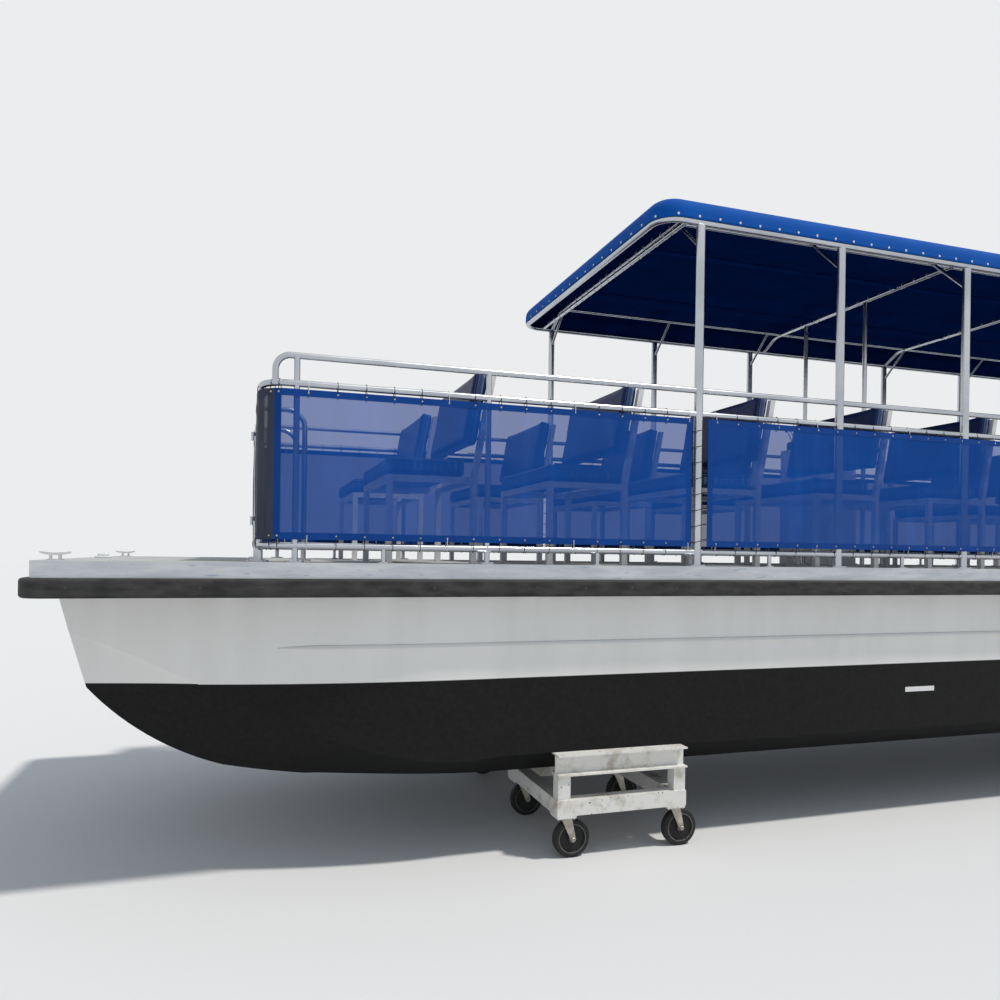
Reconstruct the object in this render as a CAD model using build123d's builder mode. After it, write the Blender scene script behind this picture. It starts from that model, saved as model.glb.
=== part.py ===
from build123d import *
import math
import os

# Twin-hulled passenger pontoon boat standing on its four wheeled dollies.
# Millimetres. +X runs aft, +Y to starboard, +Z up. The origin is on the floor,
# under the middle of the whole outline. Lengths along the boat are given as
# "aft", the distance behind the front face of the rubber fender.

# Driving dimensions of the deck
DECK_LENGTH = 11580
BEAM = 2590
DECK_TOP = 1563
DECK_THICK = 25
FENDER_PROUD = 40
FENDER_TOP = 75
FENDER_BOTTOM = 163
FENDER_RADIUS = 110
FENDER_EASE = 16
BAND_WALL = 5
FRAME_BEAM = 60
FRAME_SPACING = 760
PLATFORM = 1000

# Driving dimensions of the hulls
HULL_INSET = 130
HULL_HALF_BEAM = 340
CHINE_FLAT = 60
KEEL_HALF = 12
CHINE_DEPTH = 1003
KEEL_DEPTH = 1173
MOTOR_TAIL = 700
TRANSOM_HEIGHT = 640

# Driving dimensions of the rails, posts and canopy
RAIL_INSET = 145
RAIL_RADIUS = 17
UPPER_RADIUS = 16
STANCHION_RADIUS = 15
GATE_POST_RADIUS = 19
POST_RADIUS = 25
RAIL_HEIGHTS = (80, 865, 1000)
CORNER_RADIUS = 120
CORNER_STAND = 160
UPPER_STAND = 60
UPPER_BEND = 70
HOOP_REACH = 250
HOOP_BEND = 100
FOOT_RADIUS = 45
FOOT_THICK = 8
FRONT_RAIL = PLATFORM
STERN_RAIL = DECK_LENGTH - PLATFORM
GATE_POSTS = (5800, 6550)
BOW_GATE_HALF = 400
CANOPY_POSTS = (3380, 4360, 5350, 6900, 7880, 8860)
CANOPY_ENDS = (3130, 9110)
CANOPY_TUBE = 19
BOW_TUBE = 16
CANOPY_TUBE_HEIGHT = 1960
BOW_TUBE_HEIGHT = 2060
CANOPY_CROWN = 2200
CANOPY_TURN = 2085
CANOPY_EDGE = 2035
SHOULDER_RUN = 70
CROWN_RUN = 600
CANOPY_WALL = 4
GRAB_POLES = ((5494, -120), (5494, 559))

# Driving dimensions of the seats
SEAT_INNER = 245
SEAT_RAIL_GAP = 65
SEAT_DEPTH = 480
SEAT_TUBE = 32
SEAT_RAIL_TOP = 455
CUSHION_THICK = 95
CUSHION_LIP = 20
BACK_THICK = 80
BACK_BOTTOM = 620
BACK_TOP = 1030
BACK_POST_TOP = 1000
BACK_LEAN = 10
BACK_BAR = 26
BACK_BAR_HEIGHT = 750

# Driving dimensions of the dollies
DOLLY_LENGTH = 770
DOLLY_WIDTH = 820
BEAM_WIDTH = 80
BEAM_HEIGHT = 84
BUNK_WIDTH = 100
BUNK_WEB = 8
BUNK_FLANGE = 9
BUNK_BOTTOM = 448
WHEEL_RADIUS = 101.5
WHEEL_WIDTH = 50
WHEEL_CLEAR = 5.7
CASTER_TRAIL = 45
PLATE_SIZE = 115
PLATE_THICK = 12
AXLE_RADIUS = 8
KINGPIN_RADIUS = 11
FORK_WALL = 6
FORK_GAP = 6
CROWN_THICK = 14

# Driving dimensions of the outboard motors
STEER_AFT = 165
TILT_AFT = 45
TILT_RISE = 60
PROP_DROP = 180
PROP_RADIUS = 155
COWL_LENGTH = 585
COWL_WIDTH = 400
COWL_HEIGHT = 500
MOTOR_REACH = 640

# Clearances
PIN_GAP = 0.05
FACE = 0.3

os.makedirs("parts", exist_ok=True)

OVERALL = DECK_LENGTH + MOTOR_TAIL + MOTOR_REACH
HULL_CENTRE = BEAM / 2 - HULL_INSET - HULL_HALF_BEAM
RAIL_Y = BEAM / 2 - RAIL_INSET
SEAT_WIDTH = RAIL_Y - SEAT_RAIL_GAP - SEAT_INNER
DECK_MIDDLE = DECK_LENGTH / 2
CHINE_Z = DECK_TOP - CHINE_DEPTH
KEEL_Z = DECK_TOP - KEEL_DEPTH
HULL_TOP = DECK_TOP - FENDER_BOTTOM
TRANSOM_AFT = DECK_LENGTH + MOTOR_TAIL
TRANSOM_TOP = KEEL_Z + TRANSOM_HEIGHT


def x_at(aft):
    """X of a station that lies a distance behind the fender's front face."""
    return aft - OVERALL / 2


def save(name, part):
    part.label = name
    export_step(part, f"parts/{name}.step")


def straight_tube(start, end, radius):
    """A round bar from one point to another, as a part of its own."""
    line = Edge.make_line(start, end)
    with BuildPart() as tube:
        with BuildSketch(Plane(origin=line @ 0, z_dir=line % 0)):
            Circle(radius)
        extrude(amount=line.length)
    return tube.part


def bent_tube(points, bends, radius):
    """A round bar along straight runs, with a bend of one radius at each corner."""
    corners = [Vector(*point) for point in points]
    pieces = []
    start = corners[0]
    for before, corner, after in zip(corners, corners[1:], corners[2:]):
        incoming = (corner - before).normalized()
        outgoing = (after - corner).normalized()
        turn = incoming.get_angle(outgoing)
        reach = bends * math.tan(math.radians(turn / 2))
        bend_start = corner - incoming * reach
        pieces.append(straight_tube(start, bend_start, radius))
        hinge = incoming.cross(outgoing).normalized()
        centre = bend_start + hinge.cross(incoming) * bends
        with BuildPart() as bend:
            with BuildSketch(Plane(origin=bend_start, z_dir=incoming)):
                Circle(radius)
            revolve(axis=Axis(centre, hinge), revolution_arc=turn)
        pieces.append(bend.part)
        start = corner + outgoing * reach
    pieces.append(straight_tube(start, corners[-1], radius))
    with BuildPart() as tube:
        add(pieces)
    return tube.part


def block(x_range, y_range, z_range):
    """A plain block between two corners."""
    size = [high - low for low, high in (x_range, y_range, z_range)]
    centre = [(high + low) / 2 for low, high in (x_range, y_range, z_range)]
    return Pos(*centre) * Box(*size)


# Hulls: sections of one demi-hull, then its stem and its lower tail
# Columns: aft, half breadth at the top, half breadth at the chine,
# chine flat, chine below the deck, keel below the deck
HULL_SECTIONS = (
    (80, 26, 24, 3, 335, 700),
    (420, 150, 120, 8, 455, 900),
    (860, 252, 218, 22, 660, 1040),
    (1300, 312, 290, 40, 860, 1115),
    (2200, HULL_HALF_BEAM, HULL_HALF_BEAM, CHINE_FLAT, CHINE_DEPTH, KEEL_DEPTH),
)
STEM_TOP = (80, 150)
STEM_KNEE = (212, 615)
FOREFOOT_MIDDLE = (590, 925)
FOREFOOT_END = (1303, 1108)
KEEL_START = (2200, KEEL_DEPTH)


def hull_outline(top_half, chine_half, flat, chine_z, keel_z):
    right = [
        (top_half, HULL_TOP),
        (chine_half, chine_z),
        (chine_half - flat, chine_z),
        (KEEL_HALF if chine_half - flat > KEEL_HALF * 2 else flat, keel_z),
    ]
    left = [(-across, up) for across, up in reversed(right)]
    return right + left


SECTION_PLANE = Plane(origin=(0, 0, 0), x_dir=(0, 1, 0), z_dir=(1, 0, 0))
SIDE_PLANE = Plane(origin=(0, 0, 0), x_dir=(1, 0, 0), z_dir=(0, -1, 0))


def build_hull():
    """One demi-hull on the centreline, solid because it is closed all over."""
    notch = block(
        (x_at(DECK_LENGTH - FENDER_PROUD), x_at(TRANSOM_AFT) + 1),
        (-HULL_HALF_BEAM - 1, HULL_HALF_BEAM + 1),
        (TRANSOM_TOP, HULL_TOP + 1),
    )
    with BuildPart() as hull:
        for aft, top_half, chine_half, flat, chine_down, keel_down in HULL_SECTIONS:
            outline = hull_outline(top_half, chine_half, flat, DECK_TOP - chine_down, DECK_TOP - keel_down)
            with BuildSketch(SECTION_PLANE.offset(x_at(aft))):
                Polygon(*outline, align=None)
        loft()
        with BuildSketch(SIDE_PLANE):
            with BuildLine():
                corners = [
                    (x_at(aft), DECK_TOP - down)
                    for aft, down in (STEM_TOP, STEM_KNEE, FOREFOOT_MIDDLE, FOREFOOT_END, KEEL_START)
                ]
                Line(corners[0], corners[1])
                ThreePointArc(corners[1], corners[2], corners[3])
                Line(corners[3], corners[4])
                Line(corners[4], (corners[4][0], 0))
                Line((corners[4][0], 0), (x_at(-200), 0))
                Line((x_at(-200), 0), (x_at(-200), corners[0][1]))
                Line((x_at(-200), corners[0][1]), corners[0])
            make_face()
        extrude(amount=HULL_HALF_BEAM * 2, both=True, mode=Mode.SUBTRACT)
        start, *_ = HULL_SECTIONS[-1]
        with BuildSketch(SECTION_PLANE.offset(x_at(start))):
            Polygon(*hull_outline(*HULL_SECTIONS[-1][1:4], CHINE_Z, KEEL_Z), align=None)
        extrude(amount=TRANSOM_AFT - start)
        add(notch, mode=Mode.SUBTRACT)
    return hull.part


HULL = build_hull()
for name, side in (("hull_port", -1), ("hull_starboard", 1)):
    save(name, Pos(0, side * HULL_CENTRE, 0) * HULL)

# Deck: plywood sheet, edge band, fender and the beams underneath


def deck_sketch(edge, radius):
    """Rounded outline of the deck, a distance in from the fender's face."""
    RectangleRounded(DECK_LENGTH - 2 * edge, BEAM - 2 * edge, radius)


BAND_INSET = FENDER_PROUD + BAND_WALL
DECK_CENTRE = (x_at(DECK_MIDDLE), 0)


def deck_plane(down):
    return Plane(origin=(DECK_CENTRE[0], DECK_CENTRE[1], DECK_TOP - down))


with BuildPart() as deck:
    with BuildSketch(deck_plane(DECK_THICK)):
        deck_sketch(BAND_INSET, FENDER_RADIUS - BAND_INSET)
    extrude(amount=DECK_THICK)
save("deck", deck.part)

with BuildPart() as deck_edge:
    with BuildSketch(deck_plane(FENDER_TOP)):
        deck_sketch(FENDER_PROUD, FENDER_RADIUS - FENDER_PROUD)
        RectangleRounded(
            DECK_LENGTH - 2 * BAND_INSET, BEAM - 2 * BAND_INSET, FENDER_RADIUS - BAND_INSET, mode=Mode.SUBTRACT
        )
    extrude(amount=FENDER_TOP)
save("deck_edge", deck_edge.part)

with BuildPart() as rub_rail:
    with BuildSketch(deck_plane(FENDER_BOTTOM)):
        deck_sketch(0, FENDER_RADIUS)
    extrude(amount=FENDER_BOTTOM - FENDER_TOP)
    ends = rub_rail.faces().filter_by(Axis.Z)
    fillet(ends.edges(), radius=FENDER_EASE)
    with BuildSketch(deck_plane(FENDER_BOTTOM)):
        deck_sketch(BAND_INSET, FENDER_RADIUS - BAND_INSET)
    extrude(amount=FENDER_BOTTOM - FENDER_TOP, mode=Mode.SUBTRACT)
save("rub_rail", rub_rail.part)

BEAM_COUNT = round((DECK_LENGTH - 2 * BAND_INSET) / FRAME_SPACING) - 1
SIDE_BEAM_Y = BEAM / 2 - BAND_INSET - FRAME_BEAM / 2
CROSS_BEAM = 2 * (SIDE_BEAM_Y - FRAME_BEAM / 2 - FACE)
CROSS_BEAM_STEP = (DECK_LENGTH - 2 * BAND_INSET - FRAME_BEAM) / 2
with BuildPart() as deck_frame:
    with BuildSketch(deck_plane(FENDER_BOTTOM)):
        with Locations((0, -SIDE_BEAM_Y), (0, SIDE_BEAM_Y)):
            Rectangle(DECK_LENGTH - 2 * BAND_INSET, FRAME_BEAM)
        with Locations((-CROSS_BEAM_STEP, 0), (CROSS_BEAM_STEP, 0)):
            Rectangle(FRAME_BEAM, CROSS_BEAM)
        with GridLocations(FRAME_SPACING, 0, BEAM_COUNT, 1):
            Rectangle(FRAME_BEAM, CROSS_BEAM)
        RectangleRounded(
            DECK_LENGTH - 2 * BAND_INSET, BEAM - 2 * BAND_INSET, FENDER_RADIUS - BAND_INSET, mode=Mode.INTERSECT
        )
    extrude(amount=FENDER_BOTTOM - DECK_THICK)
save("deck_frame", deck_frame.part)

# Hinges of the three gates: a knuckle and pin on the post, a knuckle on the leaf.
# The hinge line stands a little off the fence, half-way between post and leaf.
GATE_TUBE = 14
GATE_CLEAR = 8
GATE_BOTTOM = 75
GATE_BEND = 40
LUG_HEIGHT = 24
LUG_PIN = 5
LUG_WALL = 6
LUG_HEIGHTS = (200, 680)
HINGE_OUT = 34
HINGE_SIDE = (GATE_POST_RADIUS + GATE_CLEAR + GATE_TUBE) / 2
PANEL_THICK = 3
# Columns: node, hinge aft, hinge across, turn about Z of the leaf's direction,
# side of the hinge line the leaf lies on, opening between post centres, height
GATES = (
    (
        "bow_gate",
        FRONT_RAIL - HINGE_OUT,
        -BOW_GATE_HALF + HINGE_SIDE,
        90,
        -1,
        2 * BOW_GATE_HALF,
        RAIL_HEIGHTS[1],
    ),
    (
        "gate_port",
        GATE_POSTS[1] - HINGE_SIDE,
        -RAIL_Y + HINGE_OUT,
        180,
        1,
        GATE_POSTS[1] - GATE_POSTS[0],
        RAIL_HEIGHTS[2],
    ),
    (
        "gate_starboard",
        GATE_POSTS[1] - HINGE_SIDE,
        RAIL_Y - HINGE_OUT,
        180,
        -1,
        GATE_POSTS[1] - GATE_POSTS[0],
        RAIL_HEIGHTS[2],
    ),
)


def gate_leaf(width, high):
    """A closed bent frame in the XZ plane from the origin along +X, with its sheet."""
    corners = [(width, GATE_BOTTOM), (width, high), (0, high), (0, GATE_BOTTOM)]
    middle = (width / 2, 0, GATE_BOTTOM)
    loop = [middle] + [(x, 0, z) for x, z in corners] + [middle]
    sheet = block(
        (GATE_TUBE - 1, width - GATE_TUBE + 1),
        (-PANEL_THICK / 2, PANEL_THICK / 2),
        (GATE_BOTTOM + GATE_TUBE - 1, high - GATE_TUBE + 1),
    )
    frame = bent_tube(loop, GATE_BEND, GATE_TUBE)
    with BuildPart() as leaf:
        add(frame)
        add(sheet)
    return leaf.part


def hinge_knuckle(bore_radius, reach_x, reach_y, low):
    """A round knuckle at the origin with an arm that reaches to a tube."""
    with BuildPart() as knuckle:
        with BuildSketch(Plane.XY.offset(low)):
            Circle(LUG_PIN + LUG_WALL)
            Polygon((-4, 0), (4, 0), (reach_x + 4, reach_y), (reach_x - 4, reach_y), align=None)
        extrude(amount=LUG_HEIGHT)
        if bore_radius:
            with BuildSketch(Plane.XY.offset(low)):
                Circle(bore_radius)
            extrude(amount=LUG_HEIGHT, mode=Mode.SUBTRACT)
    return knuckle.part


def gate(side, opening, high):
    """The leaf and its two knuckles, with the hinge line at the origin."""
    width = opening - 4 * HINGE_SIDE
    reach = side * (HINGE_OUT - GATE_TUBE / 2)
    pieces = [Pos(HINGE_SIDE, side * HINGE_OUT, 0) * gate_leaf(width, high)]
    pieces += [
        hinge_knuckle(LUG_PIN + PIN_GAP, HINGE_SIDE, reach, low + LUG_HEIGHT + FACE) for low in LUG_HEIGHTS
    ]
    with BuildPart() as whole:
        add(pieces)
    return whole.part


def post_lugs(side):
    """The post's half of both hinges: a knuckle, its arm and the pin."""
    pieces = []
    for low in LUG_HEIGHTS:
        pieces.append(hinge_knuckle(0, -HINGE_SIDE, side * (HINGE_OUT - RAIL_RADIUS / 2), low))
        pieces.append(Pos(0, 0, low + LUG_HEIGHT) * Cylinder(LUG_PIN, 2 * LUG_HEIGHT - 2))
    with BuildPart() as lugs:
        add(pieces)
    return lugs.part


HINGE_LUGS = []
for name, aft, across, turn, side, opening, high in GATES:
    hinge = Pos(x_at(aft), across, DECK_TOP) * Rot(0, 0, turn)
    save(name, hinge * gate(side, opening, high))
    HINGE_LUGS.append(hinge * post_lugs(side))

# Rails and stanchions
GATE_POST_RISE = 26
UPPER_FOOT = RAIL_HEIGHTS[2] - UPPER_RADIUS / 3
MIDDLE_FOOT = RAIL_HEIGHTS[1] - RAIL_RADIUS / 3
# Columns: aft, across, height above the deck, radius
STANCHIONS = [(aft, side * RAIL_Y, UPPER_FOOT, STANCHION_RADIUS) for side in (-1, 1) for aft in (2130, 9720)]
STANCHIONS += [
    (aft, side * RAIL_Y, UPPER_FOOT, STANCHION_RADIUS)
    for side in (-1, 1)
    for aft in (FRONT_RAIL + CORNER_STAND, STERN_RAIL - CORNER_STAND)
]
STANCHIONS += [
    (aft, side * (RAIL_Y - CORNER_STAND), MIDDLE_FOOT, STANCHION_RADIUS)
    for side in (-1, 1)
    for aft in (FRONT_RAIL, STERN_RAIL)
]
STANCHIONS += [(STERN_RAIL, 0, MIDDLE_FOOT, STANCHION_RADIUS)]
STANCHIONS += [
    (aft, side * RAIL_Y, RAIL_HEIGHTS[2] + GATE_POST_RISE, GATE_POST_RADIUS)
    for side in (-1, 1)
    for aft in GATE_POSTS
]
STANCHIONS += [
    (FRONT_RAIL, side * BOW_GATE_HALF, RAIL_HEIGHTS[1] + GATE_POST_RISE, GATE_POST_RADIUS) for side in (-1, 1)
]

# Short feet under the bottom rail, between the stanchions
SHORT_FOOT = RAIL_HEIGHTS[0] - RAIL_RADIUS / 3
SHORT_FOOT_RADIUS = 12
SHORT_PLATE_RADIUS = 28
SHORT_PLATE_THICK = 6
SHORT_FEET = [
    (aft, side * RAIL_Y) for side in (-1, 1) for aft in (1590, 2760, 3870, 4855, 7390, 8370, 9290, 10170)
]
SHORT_FEET += [(FRONT_RAIL, -700), (FRONT_RAIL, 700), (STERN_RAIL, -500), (STERN_RAIL, 500)]


def cylinder_at(aft, across, low, high, radius):
    height = high - low
    return Pos(x_at(aft), across, DECK_TOP + low + height / 2) * Cylinder(radius, height)


def gate_hoop(across):
    """A bar that runs aft from a bow gate post and bends down to the deck."""
    high = DECK_TOP + RAIL_HEIGHTS[1]
    back = x_at(FRONT_RAIL + HOOP_REACH)
    return bent_tube(
        [(x_at(FRONT_RAIL), across, high), (back, across, high), (back, across, DECK_TOP)],
        HOOP_BEND,
        STANCHION_RADIUS,
    )


def rail_runs():
    """Every rail as whole bars, before the uprights cut them."""
    runs = []
    # the upper rail comes down onto the bend of the middle rail
    landing = RAIL_Y - CORNER_RADIUS + math.sqrt(CORNER_RADIUS**2 - (CORNER_RADIUS - UPPER_STAND) ** 2)
    for side in (-1, 1):
        edge_y = side * RAIL_Y
        for height in RAIL_HEIGHTS[:2]:
            z = DECK_TOP + height
            runs.append(
                bent_tube(
                    [
                        (x_at(GATE_POSTS[0]), edge_y, z),
                        (x_at(FRONT_RAIL), edge_y, z),
                        (x_at(FRONT_RAIL), side * BOW_GATE_HALF, z),
                    ],
                    CORNER_RADIUS,
                    RAIL_RADIUS,
                )
            )
            runs.append(
                bent_tube(
                    [
                        (x_at(GATE_POSTS[1]), edge_y, z),
                        (x_at(STERN_RAIL), edge_y, z),
                        (x_at(STERN_RAIL), 0, z),
                    ],
                    CORNER_RADIUS,
                    RAIL_RADIUS,
                )
            )
        top = DECK_TOP + RAIL_HEIGHTS[2]
        drop = RAIL_HEIGHTS[2] - RAIL_HEIGHTS[1]
        for gate, end, way in ((GATE_POSTS[0], FRONT_RAIL, 1), (GATE_POSTS[1], STERN_RAIL, -1)):
            foot = end + way * UPPER_STAND
            runs.append(
                bent_tube(
                    [
                        (x_at(gate), edge_y, top),
                        (x_at(foot), edge_y, top),
                        (x_at(foot), side * landing, top - drop),
                    ],
                    UPPER_BEND,
                    UPPER_RADIUS,
                )
            )
        runs.append(gate_hoop(side * BOW_GATE_HALF))
    return runs


RAIL_RUNS = rail_runs()
POST_CUTS = [
    cylinder_at(aft, side * RAIL_Y, 0, RAIL_HEIGHTS[2] + 50, POST_RADIUS + FACE)
    for aft in CANOPY_POSTS
    for side in (-1, 1)
]
UPRIGHTS = [cylinder_at(aft, across, 0, height, radius) for aft, across, height, radius in STANCHIONS]
UPRIGHTS += [cylinder_at(aft, across, 0, FOOT_THICK, FOOT_RADIUS) for aft, across, _, _ in STANCHIONS]
UPRIGHTS += [
    cylinder_at(FRONT_RAIL + HOOP_REACH, side * BOW_GATE_HALF, 0, FOOT_THICK, FOOT_RADIUS) for side in (-1, 1)
]
UPRIGHTS += [cylinder_at(aft, across, 0, SHORT_FOOT, SHORT_FOOT_RADIUS) for aft, across in SHORT_FEET]
UPRIGHTS += [cylinder_at(aft, across, 0, SHORT_PLATE_THICK, SHORT_PLATE_RADIUS) for aft, across in SHORT_FEET]
with BuildPart() as rails:
    add(RAIL_RUNS)
    add(POST_CUTS, mode=Mode.SUBTRACT)
    add(UPRIGHTS)
    add(HINGE_LUGS)
save("rails", rails.part)

# Canopy posts with their knee braces, and the two grab poles in the entry space
CROSS_BOWS = (3380, 5494, 6900, 8860)
INNER_TUBE_Y = 450
INNER_TUBE = 13
SHOULDER_TUBE_Y = RAIL_Y - 260
SHOULDER_TUBE = 12
KNEE_RADIUS = 10
KNEE_LOW = 1815
POST_PLACES = [(aft, side * RAIL_Y) for aft in CANOPY_POSTS for side in (-1, 1)]
POST_TOP = CANOPY_TUBE_HEIGHT - CANOPY_TUBE - FACE
POLE_TOP = BOW_TUBE_HEIGHT - BOW_TUBE - FACE


def knee_brace(aft, side):
    """A bar from a post up to the shoulder tube, cut to sit under the tubes there."""
    high = DECK_TOP + BOW_TUBE_HEIGHT
    knee_top = (x_at(aft), side * SHOULDER_TUBE_Y, high)
    reach = 3 * CANOPY_TUBE
    cuts = [
        straight_tube(
            (knee_top[0] - reach, knee_top[1], high),
            (knee_top[0] + reach, knee_top[1], high),
            SHOULDER_TUBE + FACE,
        )
    ]
    if aft in CROSS_BOWS:
        cuts.append(
            straight_tube(
                (knee_top[0], knee_top[1] - reach, high),
                (knee_top[0], knee_top[1] + reach, high),
                BOW_TUBE + FACE,
            )
        )
    with BuildPart() as knee:
        add(straight_tube((x_at(aft), side * RAIL_Y, DECK_TOP + KNEE_LOW), knee_top, KNEE_RADIUS))
        add(cuts, mode=Mode.SUBTRACT)
    return knee.part


POST_PIECES = [cylinder_at(aft, across, 0, POST_TOP, POST_RADIUS) for aft, across in POST_PLACES]
POST_PIECES += [cylinder_at(aft, across, 0, FOOT_THICK, FOOT_RADIUS + 10) for aft, across in POST_PLACES]
POST_PIECES += [cylinder_at(aft, across, 0, POLE_TOP, RAIL_RADIUS) for aft, across in GRAB_POLES]
POST_PIECES += [cylinder_at(aft, across, 0, FOOT_THICK, FOOT_RADIUS) for aft, across in GRAB_POLES]
POST_PIECES += [knee_brace(aft, side) for aft in CANOPY_POSTS for side in (-1, 1)]
with BuildPart() as canopy_posts:
    add(POST_PIECES)
save("canopy_posts", canopy_posts.part)

# Canopy frame: a perimeter tube, cross-bows over the posts and the tubes that join them
BOW_BEND = 160
PERIMETER_RADIUS = 130
END_TIE = 14
END_TIE_RISE = 4
END_TIE_INSET = 170


def perimeter_half(side):
    z = DECK_TOP + CANOPY_TUBE_HEIGHT
    front, back = CANOPY_ENDS
    return bent_tube(
        [
            (x_at(front), 0, z),
            (x_at(front), side * RAIL_Y, z),
            (x_at(back), side * RAIL_Y, z),
            (x_at(back), 0, z),
        ],
        PERIMETER_RADIUS,
        CANOPY_TUBE,
    )


def cross_bow(aft):
    low = DECK_TOP + CANOPY_TUBE_HEIGHT
    high = DECK_TOP + BOW_TUBE_HEIGHT
    shoulder = RAIL_Y - 180
    return bent_tube(
        [
            (x_at(aft), -RAIL_Y, low),
            (x_at(aft), -shoulder, high),
            (x_at(aft), shoulder, high),
            (x_at(aft), RAIL_Y, low),
        ],
        BOW_BEND,
        BOW_TUBE,
    )


FRAME_TUBES = [perimeter_half(-1), perimeter_half(1)] + [cross_bow(aft) for aft in CROSS_BOWS]
FRAME_TUBES += [
    straight_tube(
        (x_at(CROSS_BOWS[0]), side * INNER_TUBE_Y, DECK_TOP + BOW_TUBE_HEIGHT),
        (x_at(CROSS_BOWS[-1]), side * INNER_TUBE_Y, DECK_TOP + BOW_TUBE_HEIGHT),
        INNER_TUBE,
    )
    for side in (-1, 1)
]
FRAME_TUBES += [
    straight_tube(
        (x_at(CROSS_BOWS[0]), side * SHOULDER_TUBE_Y, DECK_TOP + BOW_TUBE_HEIGHT),
        (x_at(CROSS_BOWS[-1]), side * SHOULDER_TUBE_Y, DECK_TOP + BOW_TUBE_HEIGHT),
        SHOULDER_TUBE,
    )
    for side in (-1, 1)
]
FRAME_TUBES += [
    straight_tube(
        (x_at(aft), -RAIL_Y, DECK_TOP + CANOPY_TUBE_HEIGHT + END_TIE_RISE),
        (x_at(aft), RAIL_Y, DECK_TOP + CANOPY_TUBE_HEIGHT + END_TIE_RISE),
        END_TIE,
    )
    for aft in (CANOPY_ENDS[0] + END_TIE_INSET, CANOPY_ENDS[1] - END_TIE_INSET)
]
with BuildPart() as canopy_frame:
    add(FRAME_TUBES)
save("canopy_frame", canopy_frame.part)

# Canopy: one crowned sheet that wraps over the frame, open underneath
CANOPY_OVER = CANOPY_TUBE + FACE + CANOPY_WALL
CANOPY_LENGTH = CANOPY_ENDS[1] - CANOPY_ENDS[0] + 2 * CANOPY_OVER
CANOPY_WIDTH = 2 * (RAIL_Y + CANOPY_OVER)
CANOPY_BOTTOM = CANOPY_TUBE_HEIGHT - 15
CANOPY_X = x_at((CANOPY_ENDS[0] + CANOPY_ENDS[1]) / 2)


def canopy_space(inset, low):
    """All that lies under the cover's skin, a distance in from its outer face."""
    half_x = CANOPY_LENGTH / 2 - inset
    half_y = CANOPY_WIDTH / 2 - inset
    base = DECK_TOP + low
    edge = DECK_TOP + CANOPY_EDGE - inset
    turn = DECK_TOP + CANOPY_TURN - inset
    crown = DECK_TOP + CANOPY_CROWN - inset
    with BuildPart() as space:
        with BuildSketch(Plane(origin=(CANOPY_X, 0, base))):
            RectangleRounded(2 * half_x, 2 * half_y, PERIMETER_RADIUS + CANOPY_OVER - inset)
        extrude(amount=CANOPY_CROWN)
        with BuildSketch(SECTION_PLANE.offset(CANOPY_X)):
            with BuildLine():
                Polyline(
                    (half_y - SHOULDER_RUN, turn),
                    (half_y, edge),
                    (half_y + 1, base - 1),
                    (-half_y - 1, base - 1),
                    (-half_y, edge),
                    (-half_y + SHOULDER_RUN, turn),
                )
                ThreePointArc((-half_y + SHOULDER_RUN, turn), (0, crown), (half_y - SHOULDER_RUN, turn))
            make_face()
        extrude(amount=half_x + 1, both=True, mode=Mode.INTERSECT)
        with BuildSketch(SIDE_PLANE):
            with Locations((CANOPY_X, 0)):
                Polygon(
                    (-half_x - 1, base - 1),
                    (half_x + 1, base - 1),
                    (half_x, edge),
                    (half_x - SHOULDER_RUN, turn),
                    (half_x - CROWN_RUN, crown + 5),
                    (-half_x + CROWN_RUN, crown + 5),
                    (-half_x + SHOULDER_RUN, turn),
                    (-half_x, edge),
                    align=None,
                )
        extrude(amount=half_y + 1, both=True, mode=Mode.INTERSECT)
    return space.part


with BuildPart() as canopy:
    add(canopy_space(0, CANOPY_BOTTOM))
    add(canopy_space(CANOPY_WALL, CANOPY_BOTTOM - 1), mode=Mode.SUBTRACT)
save("canopy", canopy.part)

# Mesh panels between the middle and the bottom rail, outside the uprights
PANEL_LOW = RAIL_HEIGHTS[0] + RAIL_RADIUS + 14
PANEL_HIGH = RAIL_HEIGHTS[1] - RAIL_RADIUS - 12
PANEL_JOINT = 48


def panel_path(points, bend):
    """A thin upright sheet along a plan path, seen from above."""
    with BuildPart() as panel:
        with BuildSketch(Plane.XY.offset(DECK_TOP + PANEL_LOW)):
            with BuildLine() as line:
                if len(points) > 2:
                    FilletPolyline(*points, radius=bend)
                else:
                    Line(*points)
            trace(line_width=PANEL_THICK)
        extrude(amount=PANEL_HIGH - PANEL_LOW)
    return panel.part


def mesh_panels_list():
    panels = []
    thin = STANCHION_RADIUS + FACE + PANEL_THICK / 2
    thick = POST_RADIUS + FACE + PANEL_THICK / 2
    for side in (-1, 1):
        thin_y = side * (RAIL_Y + thin)
        thick_y = side * (RAIL_Y + thick)
        front_x = x_at(FRONT_RAIL) - thin
        stern_x = x_at(STERN_RAIL) + thin
        bend = CORNER_RADIUS + thin
        gate_y = side * (BOW_GATE_HALF + GATE_POST_RADIUS)
        panels.append(
            panel_path(
                [(x_at(CANOPY_POSTS[0] - PANEL_JOINT), thin_y), (front_x, thin_y), (front_x, gate_y)], bend
            )
        )
        panels.append(
            panel_path([(x_at(CANOPY_POSTS[0] + PANEL_JOINT), thick_y), (x_at(GATE_POSTS[0]), thick_y)], 0)
        )
        panels.append(
            panel_path([(x_at(GATE_POSTS[1]), thick_y), (x_at(CANOPY_POSTS[-1] - PANEL_JOINT), thick_y)], 0)
        )
        panels.append(
            panel_path(
                [(x_at(CANOPY_POSTS[-1] + PANEL_JOINT), thin_y), (stern_x, thin_y), (stern_x, side * 15)], bend
            )
        )
    return panels


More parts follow.
